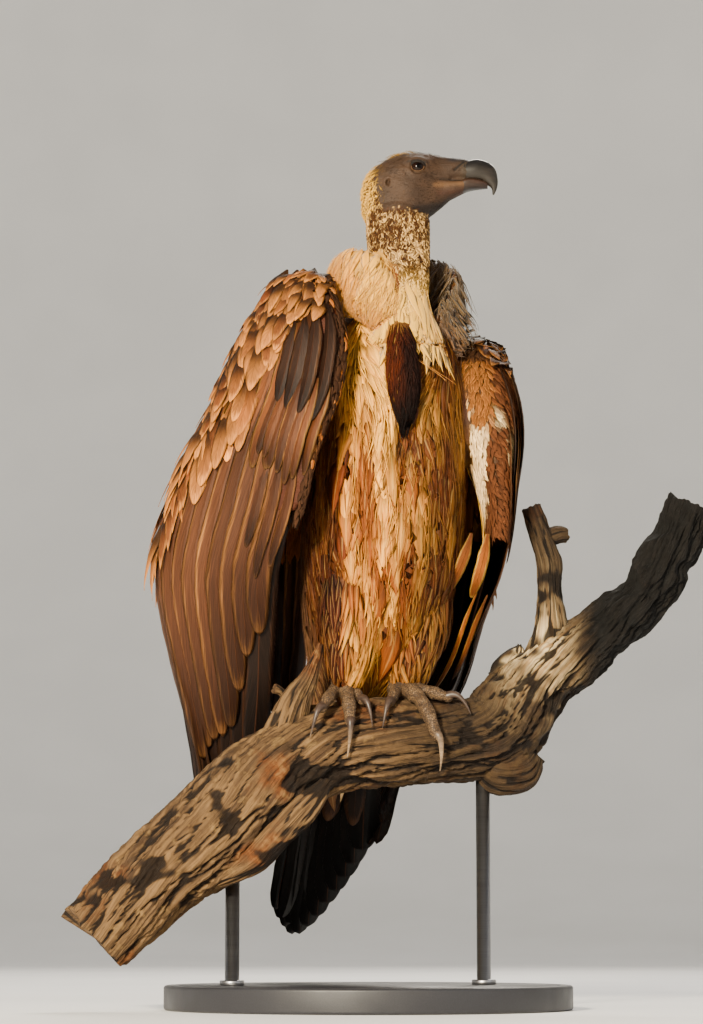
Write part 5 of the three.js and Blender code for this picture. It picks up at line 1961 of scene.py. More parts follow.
# ---------------------------------------------------------------- ruff and neck
@dataclass
class Ruff:
    """A horseshoe of long soft plumes round the foot of the neck, open in front."""

    line: Sequence = ((58, -34, 370), (42, -52, 406), (14, -54, 412), (-18, -36, 422), (-30, 0, 428),
                      (-18, 38, 430),
                      (6, 58, 422), (36, 54, 396), (50, 36, 356))
    size: Sequence = ((26, 14, 12), (43, 27, 20), (40, 27, 20), (32, 22, 18), (30, 20, 18), (32, 20, 18),
                      (34, 21, 18), (38, 17, 14), (26, 10, 10))
    neck_axis: tuple[float, float] = (42, -8)
    plume: Vane = Vane(32, 4.8, shoulder=0.35, power=1.3, blunt=0.9, camber=0.1, thick=0.25, lift=0.05,
                       droop=0.7, fray=0.12)
    strand: Vane = Hair(30, 0.45, stations=5, power=1.1, camber=0.4, thick=0.2, base=1.5, lift=0.13,
                        droop=0.45)
    spike: Vane = Hair(36, 2.6, stations=6, power=1.1, blunt=1.0, camber=0.2, thick=0.3, lift=0.6, droop=0.1,
                       fray=0.1)

    def surface(self, inset: float) -> Loft:
        """The ruff's surface."""
        return Loft(self.line, self.size, across=(0, 0, 1), grow=-inset)

    def lie(self, p: Array) -> Array:
        """Out from the neck over the ruff's top, then down, in soft swirls.

        Args:
            p: Points on the ruff in the bird's frame.
        Returns:
            The way at each point.
        """
        radial = unit(p[..., :2] - np.array(self.neck_axis))
        swirl = 0.7 * noise(p / 34, 9)
        out = stacked(radial[..., 0] - swirl * radial[..., 1], radial[..., 1] + swirl * radial[..., 0])
        return np.concatenate([0.55 * out, np.full((*p.shape[:-1], 1), -0.8)], -1)

    def dress(self, finish: Material) -> None:
        """Grows the plumes, the strands among them and the spiky plumes of the left side."""
        luck = np.random.default_rng(81)
        surface = self.surface(10)
        for name, vane, apart, low, high, jitter, ratio, stray in (
                ("plumes", self.plume, 5.4, (0, 0), (1, 1), 0.9, 0.95, 0.22),
                ("strands", self.strand, 4.0, (0, 0), (1, 1), 1.0, 0.95, 0.4),
                ("spikes", self.spike, 7.0, (0, 0.5), (1, 0.98), 0.9, 0.9, 0.3)):
            roots = scattered(surface, luck, apart, low, high, jitter, ratio)
            coat = Coat(f"ruff_{name}", "ruff_down", finish)
            coat.grow(surface, roots, vane, self.lie, luck, ruff_colours, stray).made()


@dataclass
class Neck:
    """The long neck under short woolly down."""

    line: Sequence = ((42, -6, 348), (44, -8, 388), (41, -8, 424), (37, -8, 458), (36, -8, 484),
                      (36, -8, 500))
    size: Sequence = ((46, 38, 42), (30, 29, 31), (32, 31, 32), (34, 33, 34), (33, 32, 33), (20, 20, 20))
    tuft: Vane = Hair(4.6, 0.85, shoulder=0.35, power=1.4, blunt=0.8, camber=0.5, thick=0.35, lift=0.34,
                      droop=0.7, fray=0.2)
    long: Vane = Vane(44, 5.2, stations=8, shoulder=0.3, power=1.2, blunt=0.95, camber=0.15, thick=0.35,
                      droop=0.5, fray=0.14)

    def surface(self, inset: float) -> Loft:
        """The neck's surface."""
        return Loft(self.line, self.size, grow=-inset)

    @staticmethod
    def curl(p: Array) -> Array:
        """Down, in small woolly whorls."""
        whorl = 2.2 * noise(p / 4.5, 23)
        return stacked(0, whorl, -1)

    def flesh(self) -> Shape:
        """The closed neck, run up into the head, in metres."""
        return tube(BIRD.world(grid_of(self.surface(3.4), 48, 50)))

    def dress(self, finish: Material, plume: Material) -> None:
        """Grows the down, and the cream plumes at the foot of the neck.

        Args:
            finish: Of the down.
            plume: Of the plumes.
        """
        luck = np.random.default_rng(91)
        surface = self.surface(3.4)
        roots = scattered(surface, luck, 1.95, (0, 0.14), (1, 0.9), 1.0, 0.85)
        roots = roots.kept(Head.woolly(HEAD.inside(BIRD.world(surface.point(roots.u, roots.v)))))
        coat = Coat("neck_down", "down", finish)
        coat.grow(surface, roots, self.tuft, self.curl, luck, down_colours, 0.45).made()
        roots = scattered(surface, luck, 6.6, (0, 0.0), (1, 0.3), 0.9, 0.8)
        roots.scale = luck.uniform(0.55, 1.05, len(roots.u))
        collar = Coat("neck_foot_plumes", "down", plume)
        collar.grow(surface, roots, self.long, down, luck, collar_colours, 0.22).made()


# ---------------------------------------------------------------- head
@dataclass
class Head:
    """Bare-skinned head with lidded eyes, ear openings and a fringe of down, dark cere and hooked bill."""

    skull: Sequence = ((-37, -6, -28, 8), (-33, 6, -37, 17), (-24, 17, -42, 24), (-12, 25, -44, 28),
                       (2, 30.5, -44, 29.5), (16, 31.8, -41, 28), (28, 31, -35, 23), (39, 29, -27, 17.5),
                       (50, 26, -17.5, 13))
    muzzle: Sequence = ((38, 28.6, -6, 16.5), (46, 27.2, -2, 14.8), (54, 26.3, 2.6, 13.2),
                        (61, 25.5, 3.4, 12.2),
                        (67, 24.4, 3.8, 11.2), (71, 22.6, 4.6, 10.0))
    jaw: Sequence = ((34, 4, -26, 16), (44, 4.4, -20, 14.4), (54, 4.5, -14.6, 12.8), (62, 4, -10.6, 11.2),
                     (67, 3, -8, 10))
    upper_line: Sequence = ((66.4, 0, 13), (77, 0, 13), (86, 0, 9), (92, 0, 1.5), (94.4, 0, -5),
                            (93.6, 0, -11.8))
    upper_size: Sequence = ((11.2, 11.5, 9), (10.6, 11.2, 11.5), (8.6, 9, 11.5), (5.4, 5.6, 7), (3, 2.8, 3),
                            (0.8, 0.8, 0.8))
    lower: Sequence = ((56, 2.4, -12.4, 10), (62, 3.6, -10.4, 10.6), (69, 5.4, -7.6, 10.2),
                       (78, 4.6, -6.2, 8.2),
                       (88, 0.5, -5.4, 3.8))
    folds: Sequence = (  # height, start and end in x and z, and width
        (1.5, (8, 20.5), (31, 19.5), 2.8), (0.9, (10, 18.0), (27, 17.8), 1.5),  # brow
        (-0.9, (4, 15.5), (10, 10.5), 1.6), (-0.8, (27, 7.0), (35, 3.5), 1.8),  # behind and before the eye
        (0.6, (66, 4.4), (40, 4.2), 1.4), (0.6, (68, -2.0), (34, -4.0), 2.8),  # over and under the gape
        (-0.6, (41, 1.4), (31, -6.0), 1.5))  # corner of the mouth
    eye_radius: float = 8.2
    lid_reach: float = 6.3
    ear: tuple[float, float] = (-11, -4.2)
    bristle: Vane = Hair(4.2, 0.22, stations=3, camber=0.3, thick=0.15, base=0, lift=0.3)
    fringe: Vane = Hair(7.5, 0.6, camber=0.3, thick=0.25, base=0, lift=0.45)

    def surface(self, inset: float) -> Profile:
        """The skull's surface."""
        return Profile(self.skull, widest=0.56, grow=-inset, facing=-1)

    def eyes(self) -> list[Array]:
        """Both eyes' middles in the head's frame, from their solids."""
        found = []
        for name in EYES:
            low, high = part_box(name)
            found.append(HEAD.inside(np.array((low + high) / 2)))
        return found

    @staticmethod
    def woolly(p: Array) -> Array:
        """True below the line from nape to throat where the bare skin gives way to down.

        Args:
            p: Points in the head's frame.
        Returns:
            True or false for each.
        """
        x, z = p[..., 0], p[..., 2]
        line = -34 + 38 * smooth(-13, -30, x) - 0.1 * np.maximum(x - 5, 0)
        return z < line + 4.5 * noise(p / 3, 37)

    def flesh(self) -> list[Shape]:
        """The closed skull, muzzle and jaw in metres."""
        forms = (self.surface(0.5), Profile(self.muzzle, widest=0.35), Profile(self.jaw, widest=0.6))
        return [tube(HEAD.world(grid_of(form, 64, 60))) for form in forms]

    def sculpt(self, skin: Shape) -> Shape:
        """Raises and sinks the fused skin of head and neck.

        Sockets, brows, cheeks, gape fold, ears and wrinkles.

        Args:
            skin: The fused skin; it is changed.
        Returns:
            The same skin, with tint "line" where gape and nostril are to be blackened as painted shade.
        """
        p = HEAD.inside(skin.points)
        x, y, z = p[:, 0], p[:, 1], p[:, 2]
        ay = np.abs(y)
        side = smooth(6, 13, ay)
        rise = np.zeros(len(p))
        eye = self.eyes()[1]
        off = np.hypot(x - eye[0], z - eye[2])
        rise -= 3.4 * np.exp(-(off / 6.0) ** 4) * side
        rise += 1.3 * np.exp(-((off - 8.8) / 2.3) ** 2) * side
        for height, start, end, width in self.folds:
            rise += height * crease(x, z, start, end, width) * side
        rise += 1.5 * bell(stacked(x, z), (6, -12), (14, 11)) * side
        gape = crease(x, z, (73, 1.6), (41, 1.4), 0.7) * smooth(2, 7, ay)
        rise -= 1.6 * gape
        slit = crease(x, z, (63.6, 19.6), (55.2, 11.4), 1.1) * smooth(3, 6, ay)
        rise -= 2.6 * slit + 1.0 * crease(x, z, (66.6, 17.6), (60.4, 10.6), 0.6) * smooth(3, 6, ay)
        rise += 0.8 * crease(x, z, (65.4, 19.6), (58.0, 11.0), 0.9) * smooth(3, 6, ay)
        ear = np.hypot((x - self.ear[0]) / 1.0, (z - self.ear[1]) / 1.5)
        rise += 0.7 * np.exp(-((ear - 3.4) / 1.3) ** 2) * side
        rise -= 3.6 * np.exp(-(ear / 2.0) ** 4) * side
        rise -= 0.9 * np.exp(-(y / 2.2) ** 2) * smooth(18, 24, z) * smooth(44, 30, x) * smooth(-14, 6, x)
        fold = noise(stacked(x / 7.0, y / 7.0, z / 3.2), 33, 3)
        rise += 0.42 * fold * smooth(40, 10, x)
        fine = noise(p / 1.7, 34, 2)
        rise += 0.13 * fine
        throat = smooth(-26, -42, z) * smooth(-26, 10, x)
        rise += 0.8 * throat * noise(stacked(x / 4.0, y / 4.0, z / 22.0), 35, 2)
        near = smooth(70, 40, np.linalg.norm(p - np.array([8, 0, 0]), axis=-1))
        skin.points = skin.points + normals_of(skin) * (rise * near)[:, None] * MM
        # painted shade: marks the gape crease and the nostril slits to be blackened
        skin.tints["line"] = np.repeat(np.clip(gape + slit, 0, 1)[:, None], 3, 1)
        return skin

    @staticmethod
    def skin_colours(p: Array, line: Array) -> Array:
        """Bare skin.

        Grey-brown; black under the jaw, its own dark deepened by painted shadow; tan along the gape, paler
        flesh partly brightened as a painted highlight; dark over the cere and round the eye.

        Args:
            p: Points in the head's frame.
            line: 1 in the gape and the nostril, 0 elsewhere.
        Returns:
            The colour of each point.
        """
        x, y, z = p[:, 0], p[:, 1], p[:, 2]
        side = smooth(6, 13, np.abs(y))
        # partly the skin's own dark and partly painted shadow: the skin under the jaw is made black
        under = smooth(2, -4.5, z + 24.5 - 0.27 * (x - 20)) * smooth(0, 20, x)
        top = smooth(18, 23, z - 0.1 * (x - 58)) * smooth(44, 54, x)
        horn = smooth(55, 68, x) * smooth(1, 4, z)
        # paler gape flesh, partly a painted highlight: a tan band along the gape
        band = crease(x, z, (66, -1.8), (36, -5.0), 2.6) * smooth(3, 7, np.abs(y))
        red = crease(x, z, (70, -8.5), (40, -12.5), 3.2)
        brow = crease(x, z, (9.0, 17.0), (19, 18.6), 1.1) + crease(x, z, (19, 18.6), (29, 16.6), 1.1)
        brow = brow * side + 0.5 * crease(x, z, (4, 15), (9, 17), 1.2) * side
        fleck = smooth(0.45, 0.8, noise(p / np.array([1.6, 1.6, 1.1]), 52, 2))
        tint = np.tile(Shade.SKIN.rgb, (len(p), 1)) * np.exp(0.12 * noise(p / 9, 51, 3))[:, None]
        tint = mix(tint, Shade.JAW.rgb, (0.5 * band)[:, None])
        tint = mix(tint, Shade.JAW.rgb, (0.25 * fleck * smooth(60, 20, x) * smooth(-12, 0, x))[:, None])
        tint = mix(tint, np.array(paint("2f1d14")), (0.6 * red)[:, None])
        tint = mix(tint, np.array(paint("27221b")), (0.8 * horn)[:, None])
        tint = mix(tint, np.array(paint("1f1e20")), (0.9 * top)[:, None])
        tint = mix(tint, Shade.SKIN_DARK.rgb, np.clip(0.92 * under + 0.85 * brow, 0, 1)[:, None])
        # painted shade: the gape crease and the nostril slits are blackened
        return tint * (1 - 0.95 * line)

    def lids(self) -> list[Shape]:
        """A pair of soft lids round each eye.

        A ring laid on the ball, flattened above and drawn out in front.
        """
        shapes = []
        ring, tube_turn = turns(64), turns(16)
        for eye in self.eyes():
            way = np.sign(eye[1])
            for reach, fat, lift in ((self.lid_reach, 0.5, 0.3), (self.lid_reach + 1.2, 0.9, -0.2)):
                rx = reach * (1 + 0.04 * np.cos(ring))
                rz = reach * np.where(np.sin(ring) > 0, 0.72, 0.8)
                across, up = rx * np.cos(ring), rz * np.sin(ring)
                radius = np.hypot(across, up)
                out = np.sqrt(np.maximum(self.eye_radius ** 2 - np.minimum(radius, 7.9) ** 2, 1)) + lift
                brow = 0.7 * smooth(0.2, 1.0, np.sin(ring))
                middle = stacked(eye[0] + across, eye[1] + way * (out + brow), eye[2] + up)
                away = stacked(across / radius, 0, up / radius)
                tall = np.array([0, way, 0.0])
                thick = fat * (1 + 0.6 * smooth(0.0, 1.0, np.sin(ring)))
                rings = (middle[:, None] + away[:, None] * (thick[:, None] * np.cos(tube_turn))[..., None]
                         + tall * (0.85 * thick[:, None] * np.sin(tube_turn))[..., None])
                lid = outward(Shape(HEAD.world(rings).reshape(-1, 3), bands(*rings.shape[:2], closed=True)))
                upper = np.repeat(smooth(-0.2, 0.35, np.sin(ring)), len(tube_turn))[:, None]
                lid.tints["tint"] = mix(Shade.JAW.rgb * (0.5 if fat < 0.8 else 0.3),
                                        Shade.SKIN_DARK.rgb * 0.5, upper)
                shapes.append(lid)
        return shapes

    def eyeball(self, eye: Array) -> Shape:
        """A ball with a slightly raised cornea, in metres.

        Args:
            eye: Its middle, in the head's frame.
        Returns:
            The closed ball.
        """
        turn = turns(48)
        rise = np.linspace(0.01, np.pi - 0.01, 32)[:, None]
        radius = self.eye_radius * (1 + 0.045 * np.exp(-(rise / 0.5) ** 2))
        way = np.sign(eye[1])
        ring = stacked(radius * np.sin(rise) * np.cos(turn), way * radius * np.cos(rise),
                         radius * np.sin(rise) * np.sin(turn))
        return outward(tube(HEAD.world(ring * 0.985 + eye)))

    def upper_bill(self) -> Shape:
        """The hooked upper bill: a loft down its hook, ridged on top, its cutting edge festooned."""
        surface = Loft(self.upper_line, self.upper_size, square=0.9)
        u = np.linspace(0, 1, 64, endpoint=False)[None]
        v = np.linspace(-0.06, 1, 74)[:, None]
        p = surface.point(u, v)
        ridge = np.exp(-((np.minimum(u, 1 - u)) / 0.05) ** 2)
        edge = np.exp(-((np.abs(u - 0.5) - 0.12) / 0.05) ** 2)
        wave = 0.7 * np.sin(v * 9.0) * edge * smooth(0.9, 0.6, v)
        p[..., 2] += wave * np.ones_like(p[..., 2])
        p[..., 2] += 0.35 * ridge * smooth(1.0, 0.5, v)
        return outward(tube(HEAD.world(p)))

    def lower_bill(self) -> Shape:
        """The lower bill, its edges tucked inside the upper one."""
        surface = Profile(self.lower, widest=0.6)
        return outward(tube(HEAD.world(grid_of(surface, 56, 60))))

    @staticmethod
    def back(p: Array) -> Array:
        """Back over the crown and down the nape."""
        return stacked(-1, 0, -0.5 - 0.03 * (20 - p[..., 0]))

    @staticmethod
    def hair_colours(q: Array, luck: Luck) -> tuple[Array, Array]:
        """Brown bristles, and cream down at the nape and the hind crown.

        Args:
            q: Points in the row, in metres.
            luck: Source of chance.
        Returns:
            Tint and rim of each point.
        """
        p = HEAD.inside(q)
        pale = smooth(-10, -26, p[:, 0]) + 0.6 * smooth(20, 30, p[:, 2]) * smooth(25, 5, p[:, 0])
        tint = mix(Shade.SKIN_DARK.rgb, Shade.CREAM.rgb, np.clip(pale, 0, 1)[:, None])
        tint = tint * np.array([0.8, 0.76, 0.8])
        return tint * np.exp(0.2 * luck.standard_normal((len(p), 1))), tint

    def dress(self, finish: Material, horn: Material, pale_horn: Material,
              eye_finish: Material) -> None:
        """Makes the eyes, the bill and the fringe of down and bristles.

        Args:
            finish: Of the hairs.
            horn: Of the upper bill.
            pale_horn: Of the lower bill.
            eye_finish: Of the eyes.
        """
        for name, eye in zip(EYES, self.eyes()):
            dress(self.eyeball(eye).made(f"{name}_ball"), eye_finish, "eye", name)
        dress(self.upper_bill().made("upper_bill"), horn, "horn", "bill_upper")
        dress(self.lower_bill().made("lower_bill"), pale_horn, "horn", "bill_lower")
        luck = np.random.default_rng(101)
        surface = self.surface(0.7)
        coat = Coat("head_bristles", "bare_skin", finish)
        roots = scattered(surface, luck, 3.2, (0, 0.1), (1, 0.9), 1.0, 1.0)
        p = surface.point(roots.u, roots.v)
        clear = (np.hypot(p[:, 0] - 18.5, p[:, 2] - 11.8) > 11) & (p[:, 2] > -24)
        coat.grow(surface, roots.kept(clear), self.bristle, self.back, luck, self.hair_colours, 0.4,
                  place=HEAD)
        roots = scattered(surface, luck, 1.7, (0, 0.02), (1, 0.72), 1.0, 1.0)
        p = surface.point(roots.u, roots.v)
        fuzz = luck.random(len(p)) < smooth(-17, -29,
                                            p[:, 0]) + 0.3 * smooth(18, 31, p[:, 2]) * smooth(26, 4, p[:, 0])
        coat.grow(surface, roots.kept(fuzz), self.fringe, self.back, luck, self.hair_colours, 0.5, place=HEAD)
        coat.made()
        nape = Coat("nape_down", "down", finish)
        roots = scattered(surface, luck, 2.0, (0, 0.0), (1, 0.6), 1.0, 0.9)
        woolly = self.woolly(surface.point(roots.u, roots.v))
        nape.grow(surface, roots.kept(woolly), Neck.tuft, self.back, luck, down_colours, 0.5, place=HEAD)
        nape.made()


# ---------------------------------------------------------------- feet
@dataclass(frozen=True)
class Toe:
    """One toe: turn from straight ahead, length, radius, and -1 if it points back."""

    swing: float
    length: float
    radius: float
    way: int = 1


@dataclass
class Foot:
    """A scaled shank and foot with four toes that wrap the round of the branch, each with a hooked claw."""

    name: str
    y: float
    ankle: tuple[float, float, float]
    toes: dict[str, Toe]
    claw_length: float = 24

    def toe_point(self, toe: Toe, distance: Array, height: Array) -> Array:
        """Point on a toe's middle line: distance from the foot's middle, height over the branch.

        Args:
            toe: Which toe.
            distance: In millimetres, along the branch's round.
            height: In millimetres.
        Returns:
            The points, in the frame of the perch.
        """
        swing = math.radians(toe.swing)
        radius = LIMB_RADIUS + height
        turn = toe.way * distance * math.cos(swing) / radius
        return stacked(radius * np.sin(turn), self.y + distance * math.sin(swing),
                         -LIMB_RADIUS + radius * np.cos(turn))

    @staticmethod
    def swept(line: Array, radius: Array, sides: int, up: Array,
              relief: Callable[[Array, Array], Array]) -> Array:
        """Rings round a line: radius at each point, plus relief over the turn from the top and the way along.

        Args:
            line: Points of the line.
            radius: Radius at each.
            sides: Points round each ring.
            up: The way of its top at each point.
            relief: Gives the change of radius as a share.
        Returns:
            The rings.
        """
        ahead = unit(np.gradient(line, axis=0))
        side = unit(np.cross(ahead, up))
        top = np.cross(side, ahead)
        turn = turns(sides)[None]
        v = np.linspace(0, 1, len(line))[:, None]
        r = radius[:, None] * (1 + relief(turn, v))
        high, wide = (r * np.cos(turn))[..., None], (r * np.sin(turn))[..., None]
        return line[:, None] + top[:, None] * high + side[:, None] * wide

    def scutes(self, count: float) -> Callable[[Array, Array], Array]:
        """Overlapped plates along the top, small round scales at the sides and pads beneath.

        Args:
            count: Plates along its length.
        Returns:
            A relief for the rings.
        """
        def relief(turn: Array, v: Array) -> Array:
            """Change of radius as a share."""
            top = smooth(0.25, 0.75, np.cos(turn))
            under = smooth(0.2, 0.8, -np.cos(turn))
            saw = (v * count) % 1.0
            plates = 0.13 * (saw ** 0.6 - 0.5) - 0.12 * np.exp(-(np.minimum(saw, 1 - saw) / 0.07) ** 2)
            grain = 0.05 * np.sin(turn * 9 + np.sin(v * 40)) * np.sin(v * count * 2 * np.pi)
            pads = 0.12 * np.sin(v * np.pi * 7) ** 2
            return plates * top + grain * (1 - top) * (1 - under) + pads * under
        return relief

    def toe(self, toe: Toe) -> Shape:
        """One toe in metres, its knuckles swollen.

        Args:
            toe: Which toe.
        Returns:
            The closed toe.
        """
        f = np.linspace(0, 1, 90)
        height = toe.radius + 0.6 + 3 * np.sin(np.pi * f) ** 2 * (1 - f)
        line = self.toe_point(toe, f * toe.length, height)
        knuckles = 1 + 0.1 * np.cos(f * 2 * np.pi * 3)
        rounded = np.sqrt(np.clip(1 - ((f - 0.85) / 0.16).clip(0) ** 2, 0.1, 1))
        radius = toe.radius * mix(1.08, 0.74, f) * knuckles * rounded
        up = unit(line - np.array([0, 0, -LIMB_RADIUS]) * 1.0 - stacked(0, line[:, 1], 0))
        rings = self.swept(line, radius, 40, up, self.scutes(toe.length / 3.6))
        return outward(tube(PERCH.world(rings)))

    @staticmethod
    def flattened(turn: Array, v: Array) -> Array:
        """A claw's under side, drawn in; as a share of its radius."""
        return -0.22 * smooth(0.3, 1, -np.cos(turn)) + np.zeros_like(v)

    def claw(self, toe: Toe) -> Shape:
        """One claw in metres: a smooth hook, flatter beneath.

        Args:
            toe: The toe that it ends.
        Returns:
            The closed claw.
        """
        f = np.linspace(0, 1, 36)
        height = mix(toe.radius + 1, 0.9, f ** 1.4) + 5.5 * np.sin(np.pi * f)
        line = self.toe_point(toe, toe.length - 6 + f * (self.claw_length + 2), height)
        radius = mix(4.9, 0.35, f ** 1.15)
        up = unit(line - stacked(0, line[:, 1], -LIMB_RADIUS))
        rings = self.swept(line, radius, 24, up, self.flattened)
        return outward(tube(PERCH.world(rings)))

    def shank(self) -> list[Shape]:
        """The shank and the foot's pad in metres."""
        middle = (-16, mix(self.ankle[1], self.y, 0.5), 42)
        f = np.linspace(0, 1, 90)
        line = along((self.ankle, middle, (-3, self.y, 12)), f)
        radius = along(((9.2,), (7.9,), (11,)), f)[:, 0]
        up = np.tile([1.0, 0, 0.2], (90, 1))
        rings = self.swept(line, radius, 44, up, self.scutes(17))
        rise = np.linspace(0.03, np.pi - 0.03, 30)[:, None]
        turn = turns(44)[None]
        bumps = 1 + 0.05 * np.sin(turn * 11 + 3 * rise) * np.sin(rise * 14)
        pad = stacked(15 * bumps * np.sin(rise) * np.cos(turn),
                      self.y + 13 * bumps * np.sin(rise) * np.sin(turn),
                        9 + 10 * bumps * np.cos(rise))
        return [outward(tube(PERCH.world(rings))), outward(tube(PERCH.world(pad)))]

    def dress(self, skin: Material, horn: Material) -> None:
        """Makes the leg and its claws.

        Args:
            skin: Finish of the leg.
            horn: Finish of the claws.
        """
        leg = joined([*self.shank(), *(self.toe(toe) for toe in self.toes.values())])
        dress(leg.made(f"foot_{self.name}"), skin, "scaled_skin", f"leg_{self.name}")
        for key, toe in self.toes.items():
            dress(self.claw(toe).made(f"talon_{self.name}_{key}"), horn, "horn", f"claw_{self.name}_{key}")


FEET = (
    Foot("right", -46, (-26, -50, 70), {"inner": Toe(19, 42, 6), "middle": Toe(-3, 70, 7.4),
                                        "outer": Toe(-31, 62, 6.6), "hind": Toe(-6, 40, 6.4, -1)}),
    Foot("left", 12, (-26, 14, 70), {"inner": Toe(-25, 46, 6), "middle": Toe(17, 88, 7.8),
                                     "outer": Toe(56, 56, 6.8), "hind": Toe(6, 40, 6.4, -1)}),
)


# ---------------------------------------------------------------- perch
@dataclass(frozen=True)
class Bough:
    """One length of wood. Rows of size: half width, reach up, reach down."""

    name: str
    line: Sequence
    size: Sequence
    across: tuple[float, float, float] = (0, 0, 1)
    around: int = 120
    rows: int = 200
    cracks: float = 1.0
    seed: int = 1

    def made(self) -> Shape:
        """The weathered wood in metres.

        Ridges and cracks run with the grain: noise of the turn round the bough and, far more slowly, of the
        way along, is folded into sharp valleys and sunk into the surface. Broad noise gives swellings and
        torn hollows.
        """
        surface = Loft(self.line, self.size, across=self.across)
        u = np.linspace(0, 1, self.around, endpoint=False)[None]
        v = np.linspace(0, 1, self.rows)[:, None]
        p = surface.point(u, v)
        middle = along(self.line, v[:, 0])[:, None]
        away = unit(p - middle)
        run = run_of(middle[:, 0])[:, None]
        girth = np.linalg.norm(p - middle, axis=-1).mean()
        twist = 2 * np.pi * u + run / 260
        ring = stacked(np.cos(twist) * girth / 11, np.sin(twist) * girth / 11, run / 90)
        wander = noise(ring * 0.6, self.seed + 3, 2)
        valleys = 1 - np.abs(noise(ring * 1.25 + wander[..., None] * 0.5, self.seed, 3)) * 3.4
        fine = 1 - np.abs(noise(ring * np.array([3.6, 3.6, 2.2]), self.seed + 9, 2)) * 3.0
        broad = noise(p / 34, self.seed + 5, 2)
        chips = noise(p / np.array([7.0, 7.0, 7.0]), self.seed + 7, 3)
        torn = np.maximum(noise(p / np.array([26, 34, 22.0]), self.seed + 8, 2) - 0.12, 0)
        depth = (-5.2 * smooth(0.35, 1.0, valleys) - 1.3 * smooth(0.3, 1.0, fine) + 3.4 * broad + 1.3 * chips
                 - 13.0 * torn)
        size = min(girth / 42, 1.0) * self.cracks
        end = smooth(0, 0.02, v) * smooth(1, 0.98, v)
        tangent = unit(along(self.line, np.minimum(v[:, 0] + 0.01, 1))
                       - along(self.line, np.maximum(v[:, 0] - 0.01, 0)))
        jag = 0.3 * girth * noise(stacked(2.2 * np.cos(twist), 2.2 * np.sin(twist), 0 * v),
                                  self.seed + 13, 3) * (1 - smooth(0, 0.03, v) * smooth(1, 0.97, v))
        p = p + tangent[:, None] * jag[..., None]
        shape = outward(tube(PERCH.world(p + away * (depth * size * mix(0.4, 1, end))[..., None])))
        # painted shade: sunk marks the cracks and torn hollows, which the finish blackens
        sunk = np.concatenate([(smooth(0.35, 1.0, valleys) + 3.5 * torn).ravel(), [0.5, 0.5]])
        grain = np.concatenate([stacked(twist, run).reshape(-1, 2), [[0, 0], [0, 0]]])
        shape.tints["sunk"] = np.repeat(np.clip(sunk, 0, 1)[:, None], 3, 1)
        q = PERCH.inside(shape.points)
        # painted highlight: a pale patch over the fork, as where the light falls
        painted_fork_light = bell(q[:, 1:], (146, 52), (34, 56)) * smooth(-0.4, 0.3, noise(q / 18, self.seed + 11))
        shape.tints["painted_fork_light"] = np.repeat(0.8 * painted_fork_light[:, None], 3, 1)
        shape.maps["grain"] = grain * np.array([girth, 1.0]) * MM
        return shape


@dataclass
class Perch:
    """The forked dead branch."""

    boughs: Sequence = (
        Bough("limb", ((2, -290, -236), (4, -232, -178), (6, -180, -138), (2, -122, -84), (-2, -62, -52),
                       (0, 0, -45), (0, 52, -44), (-2, 99, -37), (-4, 129, -14), (-4, 157, 17), (-2, 188, 43),
                       (2, 221, 71), (6, 270, 118), (8, 314, 196)),
              ((40, 36, 36), (46, 40, 42), (50, 46, 46), (50, 48, 48), (45, 46, 46), (45, 45, 45),
               (41, 43, 43),
               (43, 44, 44), (46, 38, 38), (39, 35, 35), (34, 33, 33), (31, 30, 30), (30, 28, 28),
               (28, 26, 26)),
              around=144, rows=480, seed=3),
        Bough("stub",
              ((-4, 158, 10), (-4, 168, 50), (-3, 169, 84), (-2, 168, 114), (0, 166, 142), (3, 156, 170),
                       (5, 147, 194)),
              ((30, 30, 30), (25, 22, 22), (16, 16, 16), (13.5, 13.5, 13.5), (13.5, 13.5, 13.5), (12, 12, 12),
               (10.5, 10.5, 10.5)), across=(0, 1, 0), around=60, rows=160, seed=5),
        Bough("spur", ((6, -112, -60), (12, -97, -10), (14, -82, 20), (16, -71, 50)),
              ((26, 18, 18), (17, 11, 11), (9, 7, 7), (3.5, 3.5, 3.5)), across=(0, 1, 0), around=48, rows=90,
              seed=7),
        Bough("twig", ((6, -100, -6), (8, -110, 4), (10, -117, 7)), ((4, 4, 4), (4, 4, 4), (5, 5, 5)),
              around=32, rows=40, seed=9),
        Bough("knot", ((0, 164, 164), (-1, 176, 168), (-2, 185, 168)),
              ((10, 10, 10), (10, 10, 10), (8, 8, 8)),
              around=44, rows=50, seed=11),
        Bough("flange", ((26, -178, -184), (34, -140, -160), (38, -98, -118), (34, -70, -86)),
              ((6, 9, 9), (14, 16, 12), (15, 18, 12), (8, 12, 10)), around=50, rows=90, seed=13),
        Bough("knuckle", ((4, 92, -56), (4, 108, -62), (4, 132, -62), (4, 148, -52)),
              ((14, 12, 12), (31, 24, 24), (31, 24, 24), (14, 12, 12)), around=56, rows=56, seed=15),
        Bough("snag", ((-22, 120, 22), (-22, 128, 34), (-22, 138, 50), (-22, 141, 58)),
              ((14, 14, 14), (17, 15, 15), (10, 9, 9), (3, 3, 3)), around=50, rows=50, seed=17),
    )

    def dress(self, finish: Material) -> None:
        """Makes the branch as one piece."""
        shape = joined([bough.made() for bough in self.boughs])
        dress(shape.made("branch"), finish, "dead_wood", "perch")


